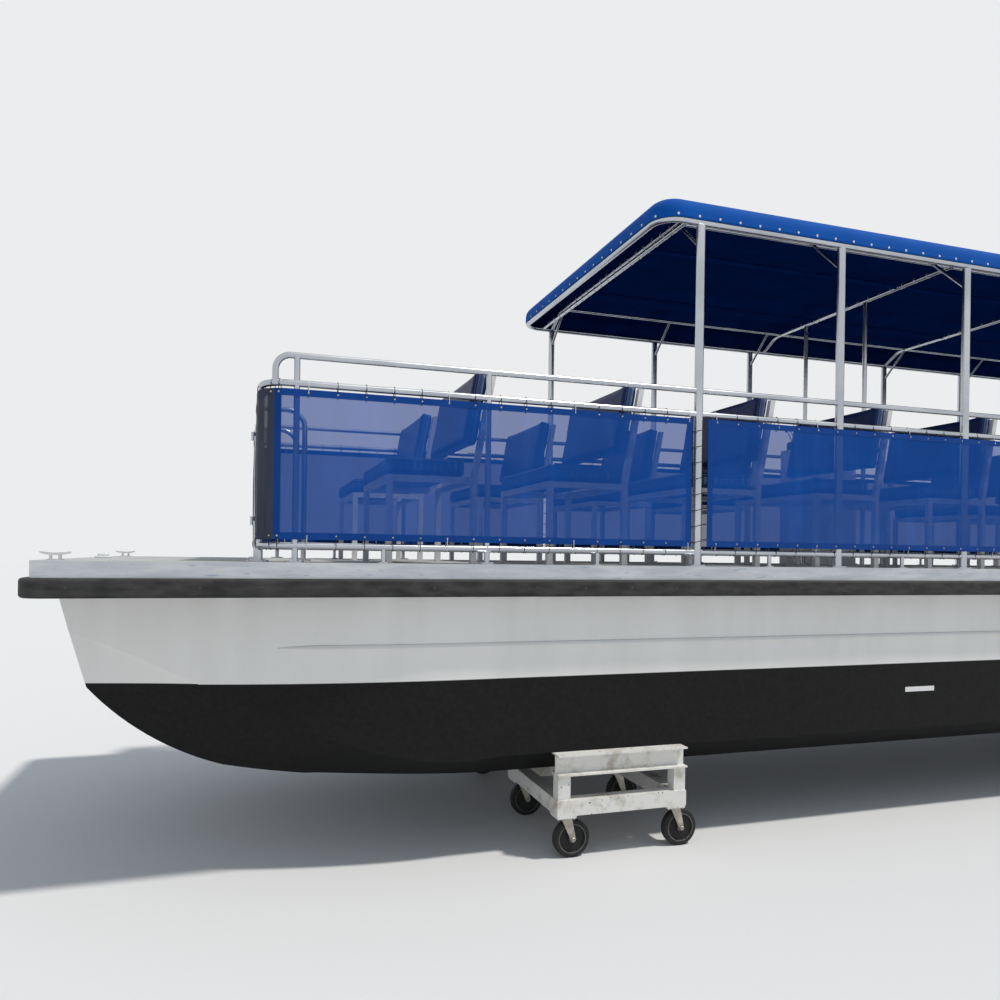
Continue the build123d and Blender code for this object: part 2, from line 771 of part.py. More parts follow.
PANELS = mesh_panels_list()
with BuildPart() as mesh_panels:
    add(PANELS)
save("mesh_panels", mesh_panels.part)

# Seats: one frame, one cushion and one back, copied to every place in the table
# Columns: aft of the top of the back posts, side of the boat
SEAT_ROWS = [(aft, -1) for aft in (2190, 3070, 3950, 4830, 5710)]
SEAT_ROWS += [(aft, 1) for aft in (2190, 3070, 3950, 4830)]
SEAT_ROWS += [(aft, side) for side in (-1, 1) for aft in (7550, 8430, 9310, 10190)]
SEAT_CENTRE_Y = SEAT_INNER + SEAT_WIDTH / 2
SEAT_PLACES = [Location((x_at(aft), side * SEAT_CENTRE_Y, DECK_TOP)) for aft, side in SEAT_ROWS]
BACK_SLOPE = math.tan(math.radians(BACK_LEAN))
SEAT_REAR = -BACK_SLOPE * (BACK_POST_TOP - SEAT_RAIL_TOP)
SEAT_FRONT = SEAT_REAR - SEAT_DEPTH
SEAT_HALF = SEAT_WIDTH / 2


def seat_frame():
    """Square-tube frame: four legs, a ring of rails and two leaning back posts."""
    ring = (SEAT_RAIL_TOP - SEAT_TUBE, SEAT_RAIL_TOP)
    pieces = []
    for leg in (SEAT_FRONT, SEAT_REAR - SEAT_TUBE):
        pieces.append(block((leg, leg + SEAT_TUBE), (-SEAT_HALF, SEAT_HALF), ring))
        for y in (-SEAT_HALF, SEAT_HALF - SEAT_TUBE):
            pieces.append(block((leg, leg + SEAT_TUBE), (y, y + SEAT_TUBE), (0, SEAT_RAIL_TOP)))
    for y in (-SEAT_HALF, SEAT_HALF - SEAT_TUBE):
        pieces.append(block((SEAT_FRONT, SEAT_REAR), (y, y + SEAT_TUBE), ring))
        with BuildPart() as post:
            with BuildSketch(SIDE_PLANE.offset(-y - SEAT_TUBE)):
                Polygon(
                    (SEAT_REAR - SEAT_TUBE, SEAT_RAIL_TOP),
                    (SEAT_REAR, SEAT_RAIL_TOP),
                    (0, BACK_POST_TOP),
                    (-SEAT_TUBE, BACK_POST_TOP),
                    align=None,
                )
            extrude(amount=SEAT_TUBE)
        pieces.append(post.part)
    bar_x = SEAT_REAR - SEAT_TUBE / 2 + BACK_SLOPE * (BACK_BAR_HEIGHT - SEAT_RAIL_TOP)
    pieces.append(
        block(
            (bar_x - BACK_BAR / 2, bar_x + BACK_BAR / 2),
            (-SEAT_HALF + SEAT_TUBE / 2, SEAT_HALF - SEAT_TUBE / 2),
            (BACK_BAR_HEIGHT - BACK_BAR / 2, BACK_BAR_HEIGHT + BACK_BAR / 2),
        )
    )
    with BuildPart() as frame:
        add(pieces)
    return frame.part


def seat_cushion():
    low = SEAT_RAIL_TOP + FACE
    front = SEAT_FRONT - CUSHION_LIP
    rear = SEAT_REAR - SEAT_TUBE - CUSHION_LIP
    return block((front, rear), (-SEAT_HALF, SEAT_HALF), (low, low + CUSHION_THICK))


def seat_back():
    face_gap = FACE / math.cos(math.radians(BACK_LEAN))
    top_x = -SEAT_TUBE - face_gap + BACK_SLOPE * (BACK_TOP - BACK_POST_TOP)
    bottom_x = top_x - BACK_SLOPE * (BACK_TOP - BACK_BOTTOM)
    with BuildPart() as back:
        with BuildSketch(SIDE_PLANE.offset(-SEAT_HALF)):
            Polygon(
                (bottom_x - BACK_THICK, BACK_BOTTOM),
                (bottom_x, BACK_BOTTOM),
                (top_x, BACK_TOP),
                (top_x - BACK_THICK, BACK_TOP),
                align=None,
            )
        extrude(amount=SEAT_WIDTH)
    return back.part


def repeat(part, places):
    """The same piece at every place, as solids that stay apart."""
    with BuildPart() as copies:
        with Locations(*places):
            add(part)
    return copies.part


save("seat_frames", repeat(seat_frame(), SEAT_PLACES))
save("seat_cushions", repeat(seat_cushion(), SEAT_PLACES))
save("seat_backs", repeat(seat_back(), SEAT_PLACES))

# Helm console and wheel, starboard of the aisle by the entry
CONSOLE_AFT = (5545, 5815)
CONSOLE_RAIL_GAP = 210
CONSOLE_Y = (300, RAIL_Y - CONSOLE_RAIL_GAP)
CONSOLE_HEIGHT = 1020
DASH_RUN = 160
DASH_DROP = 320
HELM_RADIUS = 170
HELM_RIM = 12
HUB_RADIUS = 34
HUB_LENGTH = 45
SPOKE_WIDTH = 24
SPOKE_THICK = 8
HELM_SHAFT = 12
HELM_STANDOFF = 60

DASH_NORMAL = Vector(DASH_DROP, 0, DASH_RUN).normalized()
DASH_CENTRE = Vector(
    x_at(CONSOLE_AFT[1] - DASH_RUN / 2),
    (CONSOLE_Y[0] + CONSOLE_Y[1]) / 2,
    DECK_TOP + CONSOLE_HEIGHT - DASH_DROP / 2,
)
DASH_PLANE = Plane(origin=DASH_CENTRE, x_dir=(0, 1, 0), z_dir=DASH_NORMAL)

with BuildPart() as helm_console:
    with BuildSketch(SIDE_PLANE.offset(-CONSOLE_Y[1])):
        Polygon(
            (x_at(CONSOLE_AFT[0]), DECK_TOP),
            (x_at(CONSOLE_AFT[1]), DECK_TOP),
            (x_at(CONSOLE_AFT[1]), DECK_TOP + CONSOLE_HEIGHT - DASH_DROP),
            (x_at(CONSOLE_AFT[1] - DASH_RUN), DECK_TOP + CONSOLE_HEIGHT),
            (x_at(CONSOLE_AFT[0]), DECK_TOP + CONSOLE_HEIGHT),
            align=None,
        )
    extrude(amount=CONSOLE_Y[1] - CONSOLE_Y[0])
    with BuildSketch(DASH_PLANE.offset(-HELM_SHAFT)):
        Circle(HELM_SHAFT)
    extrude(amount=HELM_SHAFT + HELM_STANDOFF)
save("helm_console", helm_console.part)

RIM_CENTRE = DASH_CENTRE + DASH_NORMAL * HELM_STANDOFF
with BuildPart() as helm_wheel:
    with BuildSketch(DASH_PLANE.offset(HELM_STANDOFF - HUB_LENGTH / 2)):
        Circle(HUB_RADIUS)
    extrude(amount=HUB_LENGTH)
    with BuildSketch(DASH_PLANE.offset(HELM_STANDOFF - SPOKE_THICK / 2)):
        with PolarLocations((HELM_RADIUS - HELM_RIM) / 2, 3, start_angle=-90):
            Rectangle(HELM_RADIUS - HELM_RIM, SPOKE_WIDTH)
    extrude(amount=SPOKE_THICK)
    with BuildSketch(Plane(origin=RIM_CENTRE, x_dir=DASH_NORMAL, z_dir=(0, 1, 0))):
        with Locations((0, HELM_RADIUS - HELM_RIM)):
            Circle(HELM_RIM)
    revolve(axis=Axis(RIM_CENTRE, DASH_NORMAL))
    with BuildSketch(DASH_PLANE):
        Circle(HELM_SHAFT + PIN_GAP)
    extrude(amount=HELM_STANDOFF + FACE, mode=Mode.SUBTRACT)
save("helm_wheel", helm_wheel.part)

# Cleats near the corners of the bow and stern platforms
CLEAT_INSET = (118, 215)
# Columns: aft, across
CLEAT_PLACES = [
    (aft, side * (BEAM / 2 - CLEAT_INSET[1]))
    for aft in (CLEAT_INSET[0], DECK_LENGTH - CLEAT_INSET[0])
    for side in (-1, 1)
]
CLEAT_LENGTH = 124
CLEAT_WIDTH = 20
CLEAT_HEIGHT = 40
CLEAT_HORN = 16
CLEAT_BASE = (70, 34, 5)
CLEAT_LEG = 14
CLEAT_LEG_GAP = 38


def cleat():
    """A two-horned cleat on a flat base, its horns drawn up at the tips."""
    base_x, base_y, base_z = CLEAT_BASE
    tip = CLEAT_LENGTH / 2
    with BuildPart() as piece:
        with BuildSketch():
            RectangleRounded(base_x, base_y, CLEAT_LEG / 2)
        extrude(amount=base_z)
        with BuildSketch(Plane.XY.offset(base_z)):
            with GridLocations(CLEAT_LEG_GAP, 0, 2, 1):
                Circle(CLEAT_LEG / 2)
        extrude(amount=CLEAT_HEIGHT - CLEAT_HORN - base_z)
        with BuildSketch(SIDE_PLANE.offset(-CLEAT_WIDTH / 2)):
            with BuildLine():
                ThreePointArc((-tip, CLEAT_HEIGHT), (0, CLEAT_HEIGHT - 6), (tip, CLEAT_HEIGHT))
                Line((tip, CLEAT_HEIGHT), (tip, CLEAT_HEIGHT - 8))
                ThreePointArc(
                    (tip, CLEAT_HEIGHT - 8), (0, CLEAT_HEIGHT - CLEAT_HORN - 2), (-tip, CLEAT_HEIGHT - 8)
                )
                Line((-tip, CLEAT_HEIGHT - 8), (-tip, CLEAT_HEIGHT))
            make_face()
        extrude(amount=CLEAT_WIDTH)
    return piece.part


save("cleats", repeat(cleat(), [Location((x_at(aft), across, DECK_TOP)) for aft, across in CLEAT_PLACES]))

# Dollies: a square base frame, four posts and two I-beam bunks under each hull end
# Columns: aft of the front end, side of the boat
DOLLY_FRONTS = (2512, DECK_LENGTH - 2512 - DOLLY_LENGTH)
DOLLIES = [(x_at(front + DOLLY_LENGTH / 2), side * HULL_CENTRE) for front in DOLLY_FRONTS for side in (-1, 1)]
BEAM_BOTTOM = 2 * WHEEL_RADIUS + WHEEL_CLEAR + CROWN_THICK + FACE + PLATE_THICK
BEAM_TOP = BEAM_BOTTOM + BEAM_HEIGHT
PLATE_BOTTOM = BEAM_BOTTOM - PLATE_THICK
PLATE_SPREAD_X = DOLLY_LENGTH - PLATE_SIZE
PLATE_SPREAD_Y = DOLLY_WIDTH - PLATE_SIZE
POST_SIZE = 70
KINGPIN_PROUD = 4


def dolly_frame():
    with BuildPart() as frame:
        with BuildSketch(Plane.XY.offset(BEAM_BOTTOM)):
            Rectangle(DOLLY_LENGTH, DOLLY_WIDTH)
            Rectangle(DOLLY_LENGTH - 2 * BEAM_WIDTH, DOLLY_WIDTH - 2 * BEAM_WIDTH, mode=Mode.SUBTRACT)
        extrude(amount=BEAM_HEIGHT)
        with BuildSketch(Plane.XY.offset(BEAM_TOP)):
            with GridLocations(DOLLY_LENGTH - BEAM_WIDTH, DOLLY_WIDTH - BEAM_WIDTH, 2, 2):
                Rectangle(POST_SIZE, POST_SIZE)
        extrude(amount=BUNK_BOTTOM - BEAM_TOP)
        with BuildSketch(Plane(origin=(-DOLLY_LENGTH / 2, 0, BUNK_BOTTOM), x_dir=(0, 1, 0), z_dir=(1, 0, 0))):
            web = CHINE_Z - BUNK_BOTTOM
            with GridLocations(DOLLY_WIDTH - BEAM_WIDTH, 0, 2, 1):
                with Locations((0, web / 2)):
                    Rectangle(BUNK_WEB, web)
                with Locations((0, BUNK_FLANGE / 2), (0, web - BUNK_FLANGE / 2)):
                    Rectangle(BUNK_WIDTH, BUNK_FLANGE)
        extrude(amount=DOLLY_LENGTH)
        with BuildSketch(Plane.XY.offset(PLATE_BOTTOM)):
            with GridLocations(PLATE_SPREAD_X, PLATE_SPREAD_Y, 2, 2):
                RectangleRounded(PLATE_SIZE, PLATE_SIZE, 12)
        extrude(amount=PLATE_THICK)
        with BuildSketch(Plane.XY.offset(PLATE_BOTTOM - CROWN_THICK - KINGPIN_PROUD)):
            with GridLocations(PLATE_SPREAD_X, PLATE_SPREAD_Y, 2, 2):
                Circle(KINGPIN_RADIUS)
        extrude(amount=CROWN_THICK + KINGPIN_PROUD)
    return frame.part


save("dolly_frames", repeat(dolly_frame(), [Location((x, y, 0)) for x, y in DOLLIES]))

# Casters: a forked yoke on a kingpin, trailing aft, and a wheel on its axle
CROWN_TOP = PLATE_BOTTOM - FACE
CROWN_LOW = CROWN_TOP - CROWN_THICK
CROWN_RADIUS = 38
WHEEL_SIDE = WHEEL_WIDTH / 2 + FORK_GAP
FORK_SIDE = WHEEL_SIDE + FORK_WALL
LEG_TOP = (-26, 34)
LEG_FOOT = 15
LEG_HEEL = 16
AXLE_PROUD = 5


def caster_fork():
    with BuildPart() as fork:
        with BuildSketch(SIDE_PLANE.offset(-FORK_SIDE)):
            Polygon(
                (LEG_TOP[0], CROWN_TOP),
                (LEG_TOP[1], CROWN_TOP),
                (CASTER_TRAIL + LEG_FOOT, WHEEL_RADIUS),
                (CASTER_TRAIL, WHEEL_RADIUS - LEG_HEEL),
                (CASTER_TRAIL - LEG_FOOT, WHEEL_RADIUS),
                align=None,
            )
        extrude(amount=2 * FORK_SIDE)
        with BuildSketch(SIDE_PLANE.offset(-WHEEL_SIDE)):
            Polygon((-80, 0), (180, 0), (180, CROWN_LOW), (-80, CROWN_LOW), align=None)
        extrude(amount=2 * WHEEL_SIDE, mode=Mode.SUBTRACT)
        with BuildSketch(Plane.XY.offset(CROWN_LOW)):
            Circle(CROWN_RADIUS)
        extrude(amount=CROWN_THICK)
        with BuildSketch(SIDE_PLANE.offset(-FORK_SIDE - AXLE_PROUD)):
            with Locations((CASTER_TRAIL, WHEEL_RADIUS)):
                Circle(AXLE_RADIUS)
        extrude(amount=2 * (FORK_SIDE + AXLE_PROUD))
        with BuildSketch(Plane.XY.offset(CROWN_LOW)):
            Circle(KINGPIN_RADIUS + PIN_GAP)
        extrude(amount=CROWN_THICK, mode=Mode.SUBTRACT)
    return fork.part


def caster_wheel():
    """A hub, a thin web and a moulded rubber tread as one body of revolution."""
    half = WHEEL_WIDTH / 2
    right = [
        (half, AXLE_RADIUS + PIN_GAP),
        (half, 24),
        (half - 12, 30),
        (half - 12, WHEEL_RADIUS - 32),
        (half - 2, WHEEL_RADIUS - 28),
        (half - 2, WHEEL_RADIUS - 9),
        (half - 9, WHEEL_RADIUS),
    ]
    left = [(-across, out) for across, out in reversed(right)]
    with BuildPart() as wheel:
        with BuildSketch(Plane(origin=(0, 0, 0), x_dir=(0, 1, 0), z_dir=(1, 0, 0))):
            Polygon(*right, *left, align=None)
        revolve(axis=Axis.Y)
    return wheel.part


FORK = caster_fork()
WHEEL = caster_wheel()
CASTER_PLACES = [
    (x + end * PLATE_SPREAD_X / 2, y + across * PLATE_SPREAD_Y / 2)
    for x, y in DOLLIES
    for end in (-1, 1)
    for across in (-1, 1)
]
for number, (x, y) in enumerate(CASTER_PLACES, start=1):
    save(f"caster_fork_{number:02d}", Pos(x, y, 0) * FORK)
    save(f"caster_wheel_{number:02d}", Pos(x + CASTER_TRAIL, y, WHEEL_RADIUS) * WHEEL)

# Outboard motors: bracket on the transom, tilting swivel bracket, motor and propeller.
# They are drawn with the transom's top edge at the origin.
EAR_GAP = 150
EAR_THICK = 20
EAR_HOOK = 90
TUBE_RADIUS = 42
STEER_PIN = 15
TILT_PIN = 12
TILT_KNUCKLE = 26
SWIVEL_LOW = -190
SWIVEL_HIGH = 100
COWL_BOTTOM = 190
LEG_HALF = 55
PLATE_DROP = -TRANSOM_HEIGHT
PROP_Z = PLATE_DROP - PROP_DROP
PROP_START = STEER_AFT + 265
PROP_LENGTH = 110
PROP_HUB = 48
GEARCASE_RADIUS = 54
GEARCASE_NOSE = STEER_AFT - 30
FIN_THICK = 14


def motor_bracket():
    """Two ears that sit on the transom, with the tilt pin between them."""
    with BuildPart() as bracket:
        for low in (-EAR_GAP / 2 - EAR_THICK, EAR_GAP / 2):
            with BuildSketch(SIDE_PLANE.offset(-low - EAR_THICK)):
                Polygon(
                    (0, -260),
                    (22, -260),
                    (TILT_AFT + 30, -20),
                    (TILT_AFT + 30, TILT_RISE + 15),
                    (TILT_AFT + 10, TILT_RISE + 30),
                    (0, TILT_RISE + 30),
                    (-EAR_HOOK, 22),
                    (-EAR_HOOK, 0),
                    (0, 0),
                    align=None,
                )
            extrude(amount=EAR_THICK)
        with BuildSketch(SIDE_PLANE.offset(-EAR_GAP / 2 - EAR_THICK)):
            with Locations((TILT_AFT, TILT_RISE)):
                Circle(TILT_PIN)
        extrude(amount=EAR_GAP + 2 * EAR_THICK)
    return bracket.part


def swivel_bracket():
    """The steering tube, the tilt tube and the arm between them."""
    half = EAR_GAP / 2 - 1
    with BuildPart() as swivel:
        with BuildSketch(Plane(origin=(STEER_AFT, 0, SWIVEL_LOW))):
            Circle(TUBE_RADIUS)
        extrude(amount=SWIVEL_HIGH - SWIVEL_LOW)
        with BuildSketch(SIDE_PLANE.offset(-half)):
            with Locations((TILT_AFT, TILT_RISE)):
                Circle(TILT_KNUCKLE)
        extrude(amount=2 * half)
        with BuildSketch(SIDE_PLANE.offset(-40)):
            Polygon(
                (TILT_AFT, TILT_RISE + TILT_KNUCKLE),
                (TILT_AFT, TILT_RISE - TILT_KNUCKLE),
                (STEER_AFT - 10, SWIVEL_LOW + 40),
                (STEER_AFT - 10, TILT_RISE + TILT_KNUCKLE),
                align=None,
            )
        extrude(amount=80)
        with BuildSketch(Plane(origin=(STEER_AFT, 0, SWIVEL_LOW))):
            Circle(STEER_PIN + PIN_GAP)
        extrude(amount=SWIVEL_HIGH - SWIVEL_LOW, mode=Mode.SUBTRACT)
        with BuildSketch(SIDE_PLANE.offset(-half)):
            with Locations((TILT_AFT, TILT_RISE)):
                Circle(TILT_PIN + PIN_GAP)
        extrude(amount=2 * half, mode=Mode.SUBTRACT)
    return swivel.part


def motor():
    """Cowl, C-shaped midsection round the steering tube, gearcase, plate and skeg."""
    across = Plane(origin=(0, 0, 0), x_dir=(0, 1, 0), z_dir=(1, 0, 0))
    with BuildPart() as piece:
        with BuildSketch(Plane(origin=(STEER_AFT - 110 + COWL_LENGTH / 2, 0, COWL_BOTTOM))):
            RectangleRounded(COWL_LENGTH, COWL_WIDTH, 120)
        with BuildSketch(Plane(origin=(STEER_AFT - 100 + COWL_LENGTH / 2, 0, COWL_BOTTOM + COWL_HEIGHT))):
            RectangleRounded(COWL_LENGTH - 90, COWL_WIDTH - 100, 110)
        loft()
        with BuildSketch(SIDE_PLANE.offset(-LEG_HALF)):
            with Locations((STEER_AFT, 0)):
                Polygon(
                    (-45, COWL_BOTTOM + 1),
                    (-45, SWIVEL_HIGH + FACE),
                    (TUBE_RADIUS + 12, SWIVEL_HIGH + FACE),
                    (TUBE_RADIUS + 12, SWIVEL_LOW - FACE),
                    (-45, SWIVEL_LOW - FACE),
                    (-45, SWIVEL_LOW - 90),
                    (20, SWIVEL_LOW - 120),
                    (40, PLATE_DROP),
                    (240, PLATE_DROP),
                    (260, COWL_BOTTOM + 1),
                    align=None,
                )
        extrude(amount=2 * LEG_HALF)
        with BuildSketch(Plane(origin=(STEER_AFT + 200, 0, PLATE_DROP - FIN_THICK))):
            RectangleRounded(440, 200, 40)
        extrude(amount=FIN_THICK)
        with BuildSketch(SIDE_PLANE.offset(-12)):
            with Locations((STEER_AFT, 0)):
                Polygon(
                    (45, PLATE_DROP),
                    (60, PROP_Z - 60),
                    (100, PROP_Z - 130),
                    (170, PROP_Z - 130),
                    (200, PROP_Z),
                    (220, PLATE_DROP),
                    align=None,
                )
        extrude(amount=24)
        with BuildSketch(across.offset(GEARCASE_NOSE)):
            with Locations((0, PROP_Z)):
                Circle(GEARCASE_RADIUS)
        extrude(amount=PROP_START - 8 - GEARCASE_NOSE)
        with BuildSketch(across.offset(PROP_START - 12)):
            with Locations((0, PROP_Z)):
                Circle(HELM_SHAFT)
        extrude(amount=PROP_LENGTH)
        with BuildSketch(Plane(origin=(STEER_AFT, 0, SWIVEL_LOW - 20))):
            Circle(STEER_PIN)
        extrude(amount=SWIVEL_HIGH - SWIVEL_LOW + 40)
    return piece.part


def propeller_blade():
    """One twisted blade along +Z, lofted between three flat sections."""
    middle = PROP_LENGTH / 2
    # Columns: height from the shaft, chord, thickness, pitch angle
    sections = ((30, 70, 8, 40), (110, 110, 6, 25), (PROP_RADIUS, 50, 4, 15))
    with BuildPart() as blade:
        for height, chord, thickness, pitch in sections:
            with BuildSketch(Plane(origin=(middle, 0, height), x_dir=(0, 1, 0), z_dir=(0, 0, 1))):
                Rectangle(chord, thickness, rotation=pitch)
        loft()
    return blade.part


def propeller():
    across = Plane(origin=(0, 0, 0), x_dir=(0, 1, 0), z_dir=(1, 0, 0))
    blade = propeller_blade()
    blades = [blade.rotate(Axis.X, turn) for turn in (0, 120, 240)]
    with BuildPart() as piece:
        with BuildSketch(across):
            Circle(PROP_HUB)
        extrude(amount=PROP_LENGTH)
        add(blades)
        with BuildSketch(across):
            Circle(HELM_SHAFT + PIN_GAP)
        extrude(amount=PROP_LENGTH, mode=Mode.SUBTRACT)
    return piece.part


MOTOR_CENTRES = (("port", -HULL_CENTRE), ("starboard", HULL_CENTRE))
TRANSOM_PLACES = [Location((x_at(TRANSOM_AFT), centre_y, TRANSOM_TOP)) for _, centre_y in MOTOR_CENTRES]
SWIVEL = swivel_bracket()
MOTOR = motor()
PROPELLER = propeller()
save("motor_brackets", repeat(motor_bracket(), TRANSOM_PLACES))
for name, centre_y in MOTOR_CENTRES:
    transom = Pos(x_at(TRANSOM_AFT), centre_y, TRANSOM_TOP)
    save(f"swivel_bracket_{name}", transom * SWIVEL)
    save(f"motor_{name}", transom * MOTOR)
    save(f"propeller_{name}", transom * Pos(PROP_START, 0, PROP_Z) * PROPELLER)
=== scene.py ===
import math

import bmesh
import bpy
import numpy as np
from mathutils import Matrix, Quaternion, Vector
from mathutils.bvhtree import BVHTree

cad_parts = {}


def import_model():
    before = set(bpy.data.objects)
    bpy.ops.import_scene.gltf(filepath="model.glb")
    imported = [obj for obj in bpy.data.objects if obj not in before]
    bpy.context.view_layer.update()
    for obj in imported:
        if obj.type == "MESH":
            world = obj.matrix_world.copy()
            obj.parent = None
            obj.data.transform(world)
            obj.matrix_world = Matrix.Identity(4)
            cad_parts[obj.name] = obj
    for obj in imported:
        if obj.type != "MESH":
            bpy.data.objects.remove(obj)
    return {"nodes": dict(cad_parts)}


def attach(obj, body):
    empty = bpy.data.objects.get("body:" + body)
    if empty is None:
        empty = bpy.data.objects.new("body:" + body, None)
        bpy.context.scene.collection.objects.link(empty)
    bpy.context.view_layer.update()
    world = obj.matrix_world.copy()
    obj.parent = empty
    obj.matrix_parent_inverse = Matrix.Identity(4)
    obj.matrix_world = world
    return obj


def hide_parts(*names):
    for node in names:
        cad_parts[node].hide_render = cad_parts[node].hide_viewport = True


# Looks of a passenger pontoon boat on wheeled dollies. Metres, in the CAD frame:
# +X aft, +Y to starboard, +Z up. "aft" is measured from the fender's front face.

OVERALL = 12.92
DECK_LENGTH = 11.58
BEAM = 2.59
DECK = 1.563
WATERLINE = DECK - 0.595
HULL_Y = 0.825
RAIL_Y = 1.15
RAIL_LOW = DECK + 0.080
RAIL_MID = DECK + 0.865
RAIL_R = 0.017
STANCHION_R = 0.015
POST_R = 0.025
FRONT_RAIL = 1.0
STERN_RAIL = 10.58
CORNER = 0.12
GATE_POSTS = (5.8, 6.55)
BOW_GATE_HALF = 0.40
CANOPY_POSTS = (3.38, 4.36, 5.35, 6.9, 7.88, 8.86)
CANOPY_ENDS = (3.13, 9.11)
BOW_STATIONS = (3.38, 5.494, 6.9, 8.86)
TUBE_Z = DECK + 1.96
SHEET_LENGTH = 1.22
PLEAT_STEP = 0.036
ROOT = "boat"
SIDES = ((-1, "port"), (1, "starboard"))
UP = Vector((0, 0, 1))


def x_at(aft):
    return aft - OVERALL / 2


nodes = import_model()["nodes"]
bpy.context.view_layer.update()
scene = bpy.context.scene

# Materials


class Wiring:
    """Adds and joins the nodes of a tree."""

    def __init__(self, tree):
        self.tree = tree
        tree.nodes.clear()

    def add(self, kind, **values):
        node = self.tree.nodes.new(kind)
        for key, value in values.items():
            setattr(node, key, value)
        return node

    def feed(self, value, socket):
        """Links an output to a socket, or sets the socket to a number or a colour."""
        if hasattr(value, "is_linked"):
            self.tree.links.new(value, socket)
        else:
            socket.default_value = (*value, 1) if isinstance(value, tuple) else value

    def calc(self, operation, *values):
        """A sum or function of up to three values."""
        node = self.add("ShaderNodeMath", operation=operation)
        for socket, value in zip(node.inputs, values):
            self.feed(value, socket)
        return node.outputs[0]


class Nodes(Wiring):
    """Wires one procedural material."""

    def __init__(self, name):
        self.mat = bpy.data.materials.new(name)
        self.mat.use_nodes = True
        super().__init__(self.mat.node_tree)
        self.bsdf = self.add("ShaderNodeBsdfPrincipled")
        self.feed(self.bsdf.outputs[0], self.add("ShaderNodeOutputMaterial").inputs["Surface"])
        self.coord = self.add("ShaderNodeTexCoord")

    def noise(self, scale, detail=3.0, stretch=(1, 1, 1), rough=0.5):
        mapping = self.add("ShaderNodeMapping")
        mapping.inputs["Scale"].default_value = stretch
        self.feed(self.coord.outputs["Object"], mapping.inputs["Vector"])
        tex = self.add("ShaderNodeTexNoise")
        self.feed(mapping.outputs[0], tex.inputs["Vector"])
        for key, value in (("Scale", scale), ("Detail", detail), ("Roughness", rough)):
            self.feed(value, tex.inputs[key])
        return tex.outputs["Fac"]

    def remap(self, value, low, high, to_low=0.0, to_high=1.0):
        node = self.add("ShaderNodeMapRange")
        self.feed(value, node.inputs["Value"])
        for key, end in (("From Min", low), ("From Max", high), ("To Min", to_low), ("To Max", to_high)):
            self.feed(end, node.inputs[key])
        return node.outputs[0]

    def mix(self, factor, a, b):
        node = self.add("ShaderNodeMix", data_type="RGBA")
        for key, value in (("Factor", factor), (6, a), (7, b)):
            self.feed(value, node.inputs[key])
        return node.outputs[2]

    def place(self):
        """The three coordinates of the point in its object."""
        split = self.add("ShaderNodeSeparateXYZ")
        self.feed(self.coord.outputs["Object"], split.inputs[0])
        return split.outputs

    def color(self, value):
        self.feed(value, self.bsdf.inputs["Base Color"])

    def rough(self, value):
        self.feed(value, self.bsdf.inputs["Roughness"])

    def bump(self, value, strength, distance):
        node = self.add("ShaderNodeBump")
        for key, number in (("Strength", strength), ("Distance", distance), ("Height", value)):
            self.feed(number, node.inputs[key])
        self.feed(node.outputs[0], self.bsdf.inputs["Normal"])

    def set(self, **values):
        for key, value in values.items():
            self.bsdf.inputs[key.replace("_", " ")].default_value = value


def speckled(name, light, dark, scale, rough, metallic=0.0, bump=0.0, stretch=(1, 1, 1), coat=0.0):
    """A surface whose colour and roughness wander a little with noise."""
    m = Nodes(name)
    grain = m.noise(scale, 4.0, stretch)
    m.color(m.mix(m.remap(grain, 0.35, 0.65), dark, light))
    m.rough(m.remap(grain, 0.3, 0.7, rough[0], rough[1]))
    m.set(Metallic=metallic)
    if coat:
        m.set(Coat_Weight=coat, Coat_Roughness=0.12)
    if bump:
        m.bump(grain, bump, 0.002)
    return m.mat


def hull_material():
    m = Nodes("hull_paint")
    above = m.remap(m.place()[2], WATERLINE - 0.002, WATERLINE + 0.002)
    streak = m.noise(2.2, 4.0, (2.5, 1, 0.5))
    fine = m.noise(40, 3.0)
    white = m.mix(m.remap(streak, 0.4, 0.75, 0, 0.6), (0.80, 0.79, 0.76), (0.71, 0.70, 0.66))
    black = m.mix(m.remap(fine, 0.35, 0.65), (0.0030, 0.0030, 0.0033), (0.0065, 0.0065, 0.0068))
    m.color(m.mix(above, black, white))
    m.rough(m.remap(above, 0, 1, 0.70, 0.32))
    m.set(Specular_IOR_Level=0.22)
    m.bump(m.noise(1.6, 2.0, (1, 1, 1.4)), 0.06, 0.008)
    return m.mat


def fabric(name, light, dark, sheen, shine=0.1):
    m = Nodes(name)
    cloud = m.noise(5, 3.0)
    thread = m.noise(900, 2.0)
    m.color(m.mix(m.remap(cloud, 0.3, 0.7), dark, light))
    m.rough(0.8)
    m.set(Sheen_Weight=sheen, Sheen_Roughness=0.5, Specular_IOR_Level=shine)
    m.bump(thread, 0.25, 0.0006)
    return m.mat


def netting(name, color, alpha):
    """Open net, seen from afar as cloth that lets a little of what is behind it through, with painted
    highlights in streaks along its folds.
    """
    m = Nodes(name)
    cloud = m.noise(3, 3.0)
    fold_highlight = m.noise(9, 2.0, (1, 1, 0.2))
    cloud_tone = m.mix(m.remap(cloud, 0.3, 0.7), tuple(0.8 * c for c in color), color)
    # painted highlight: paler streaks where the folds of the net catch the light
    m.color(m.mix(m.remap(fold_highlight, 0.5, 0.8, 0, 0.35), cloud_tone, tuple(min(1, 1.5 * c + 0.02) for c in color)))
    m.rough(0.75)
    m.set(Alpha=alpha, Specular_IOR_Level=0.1)
    return m.mat


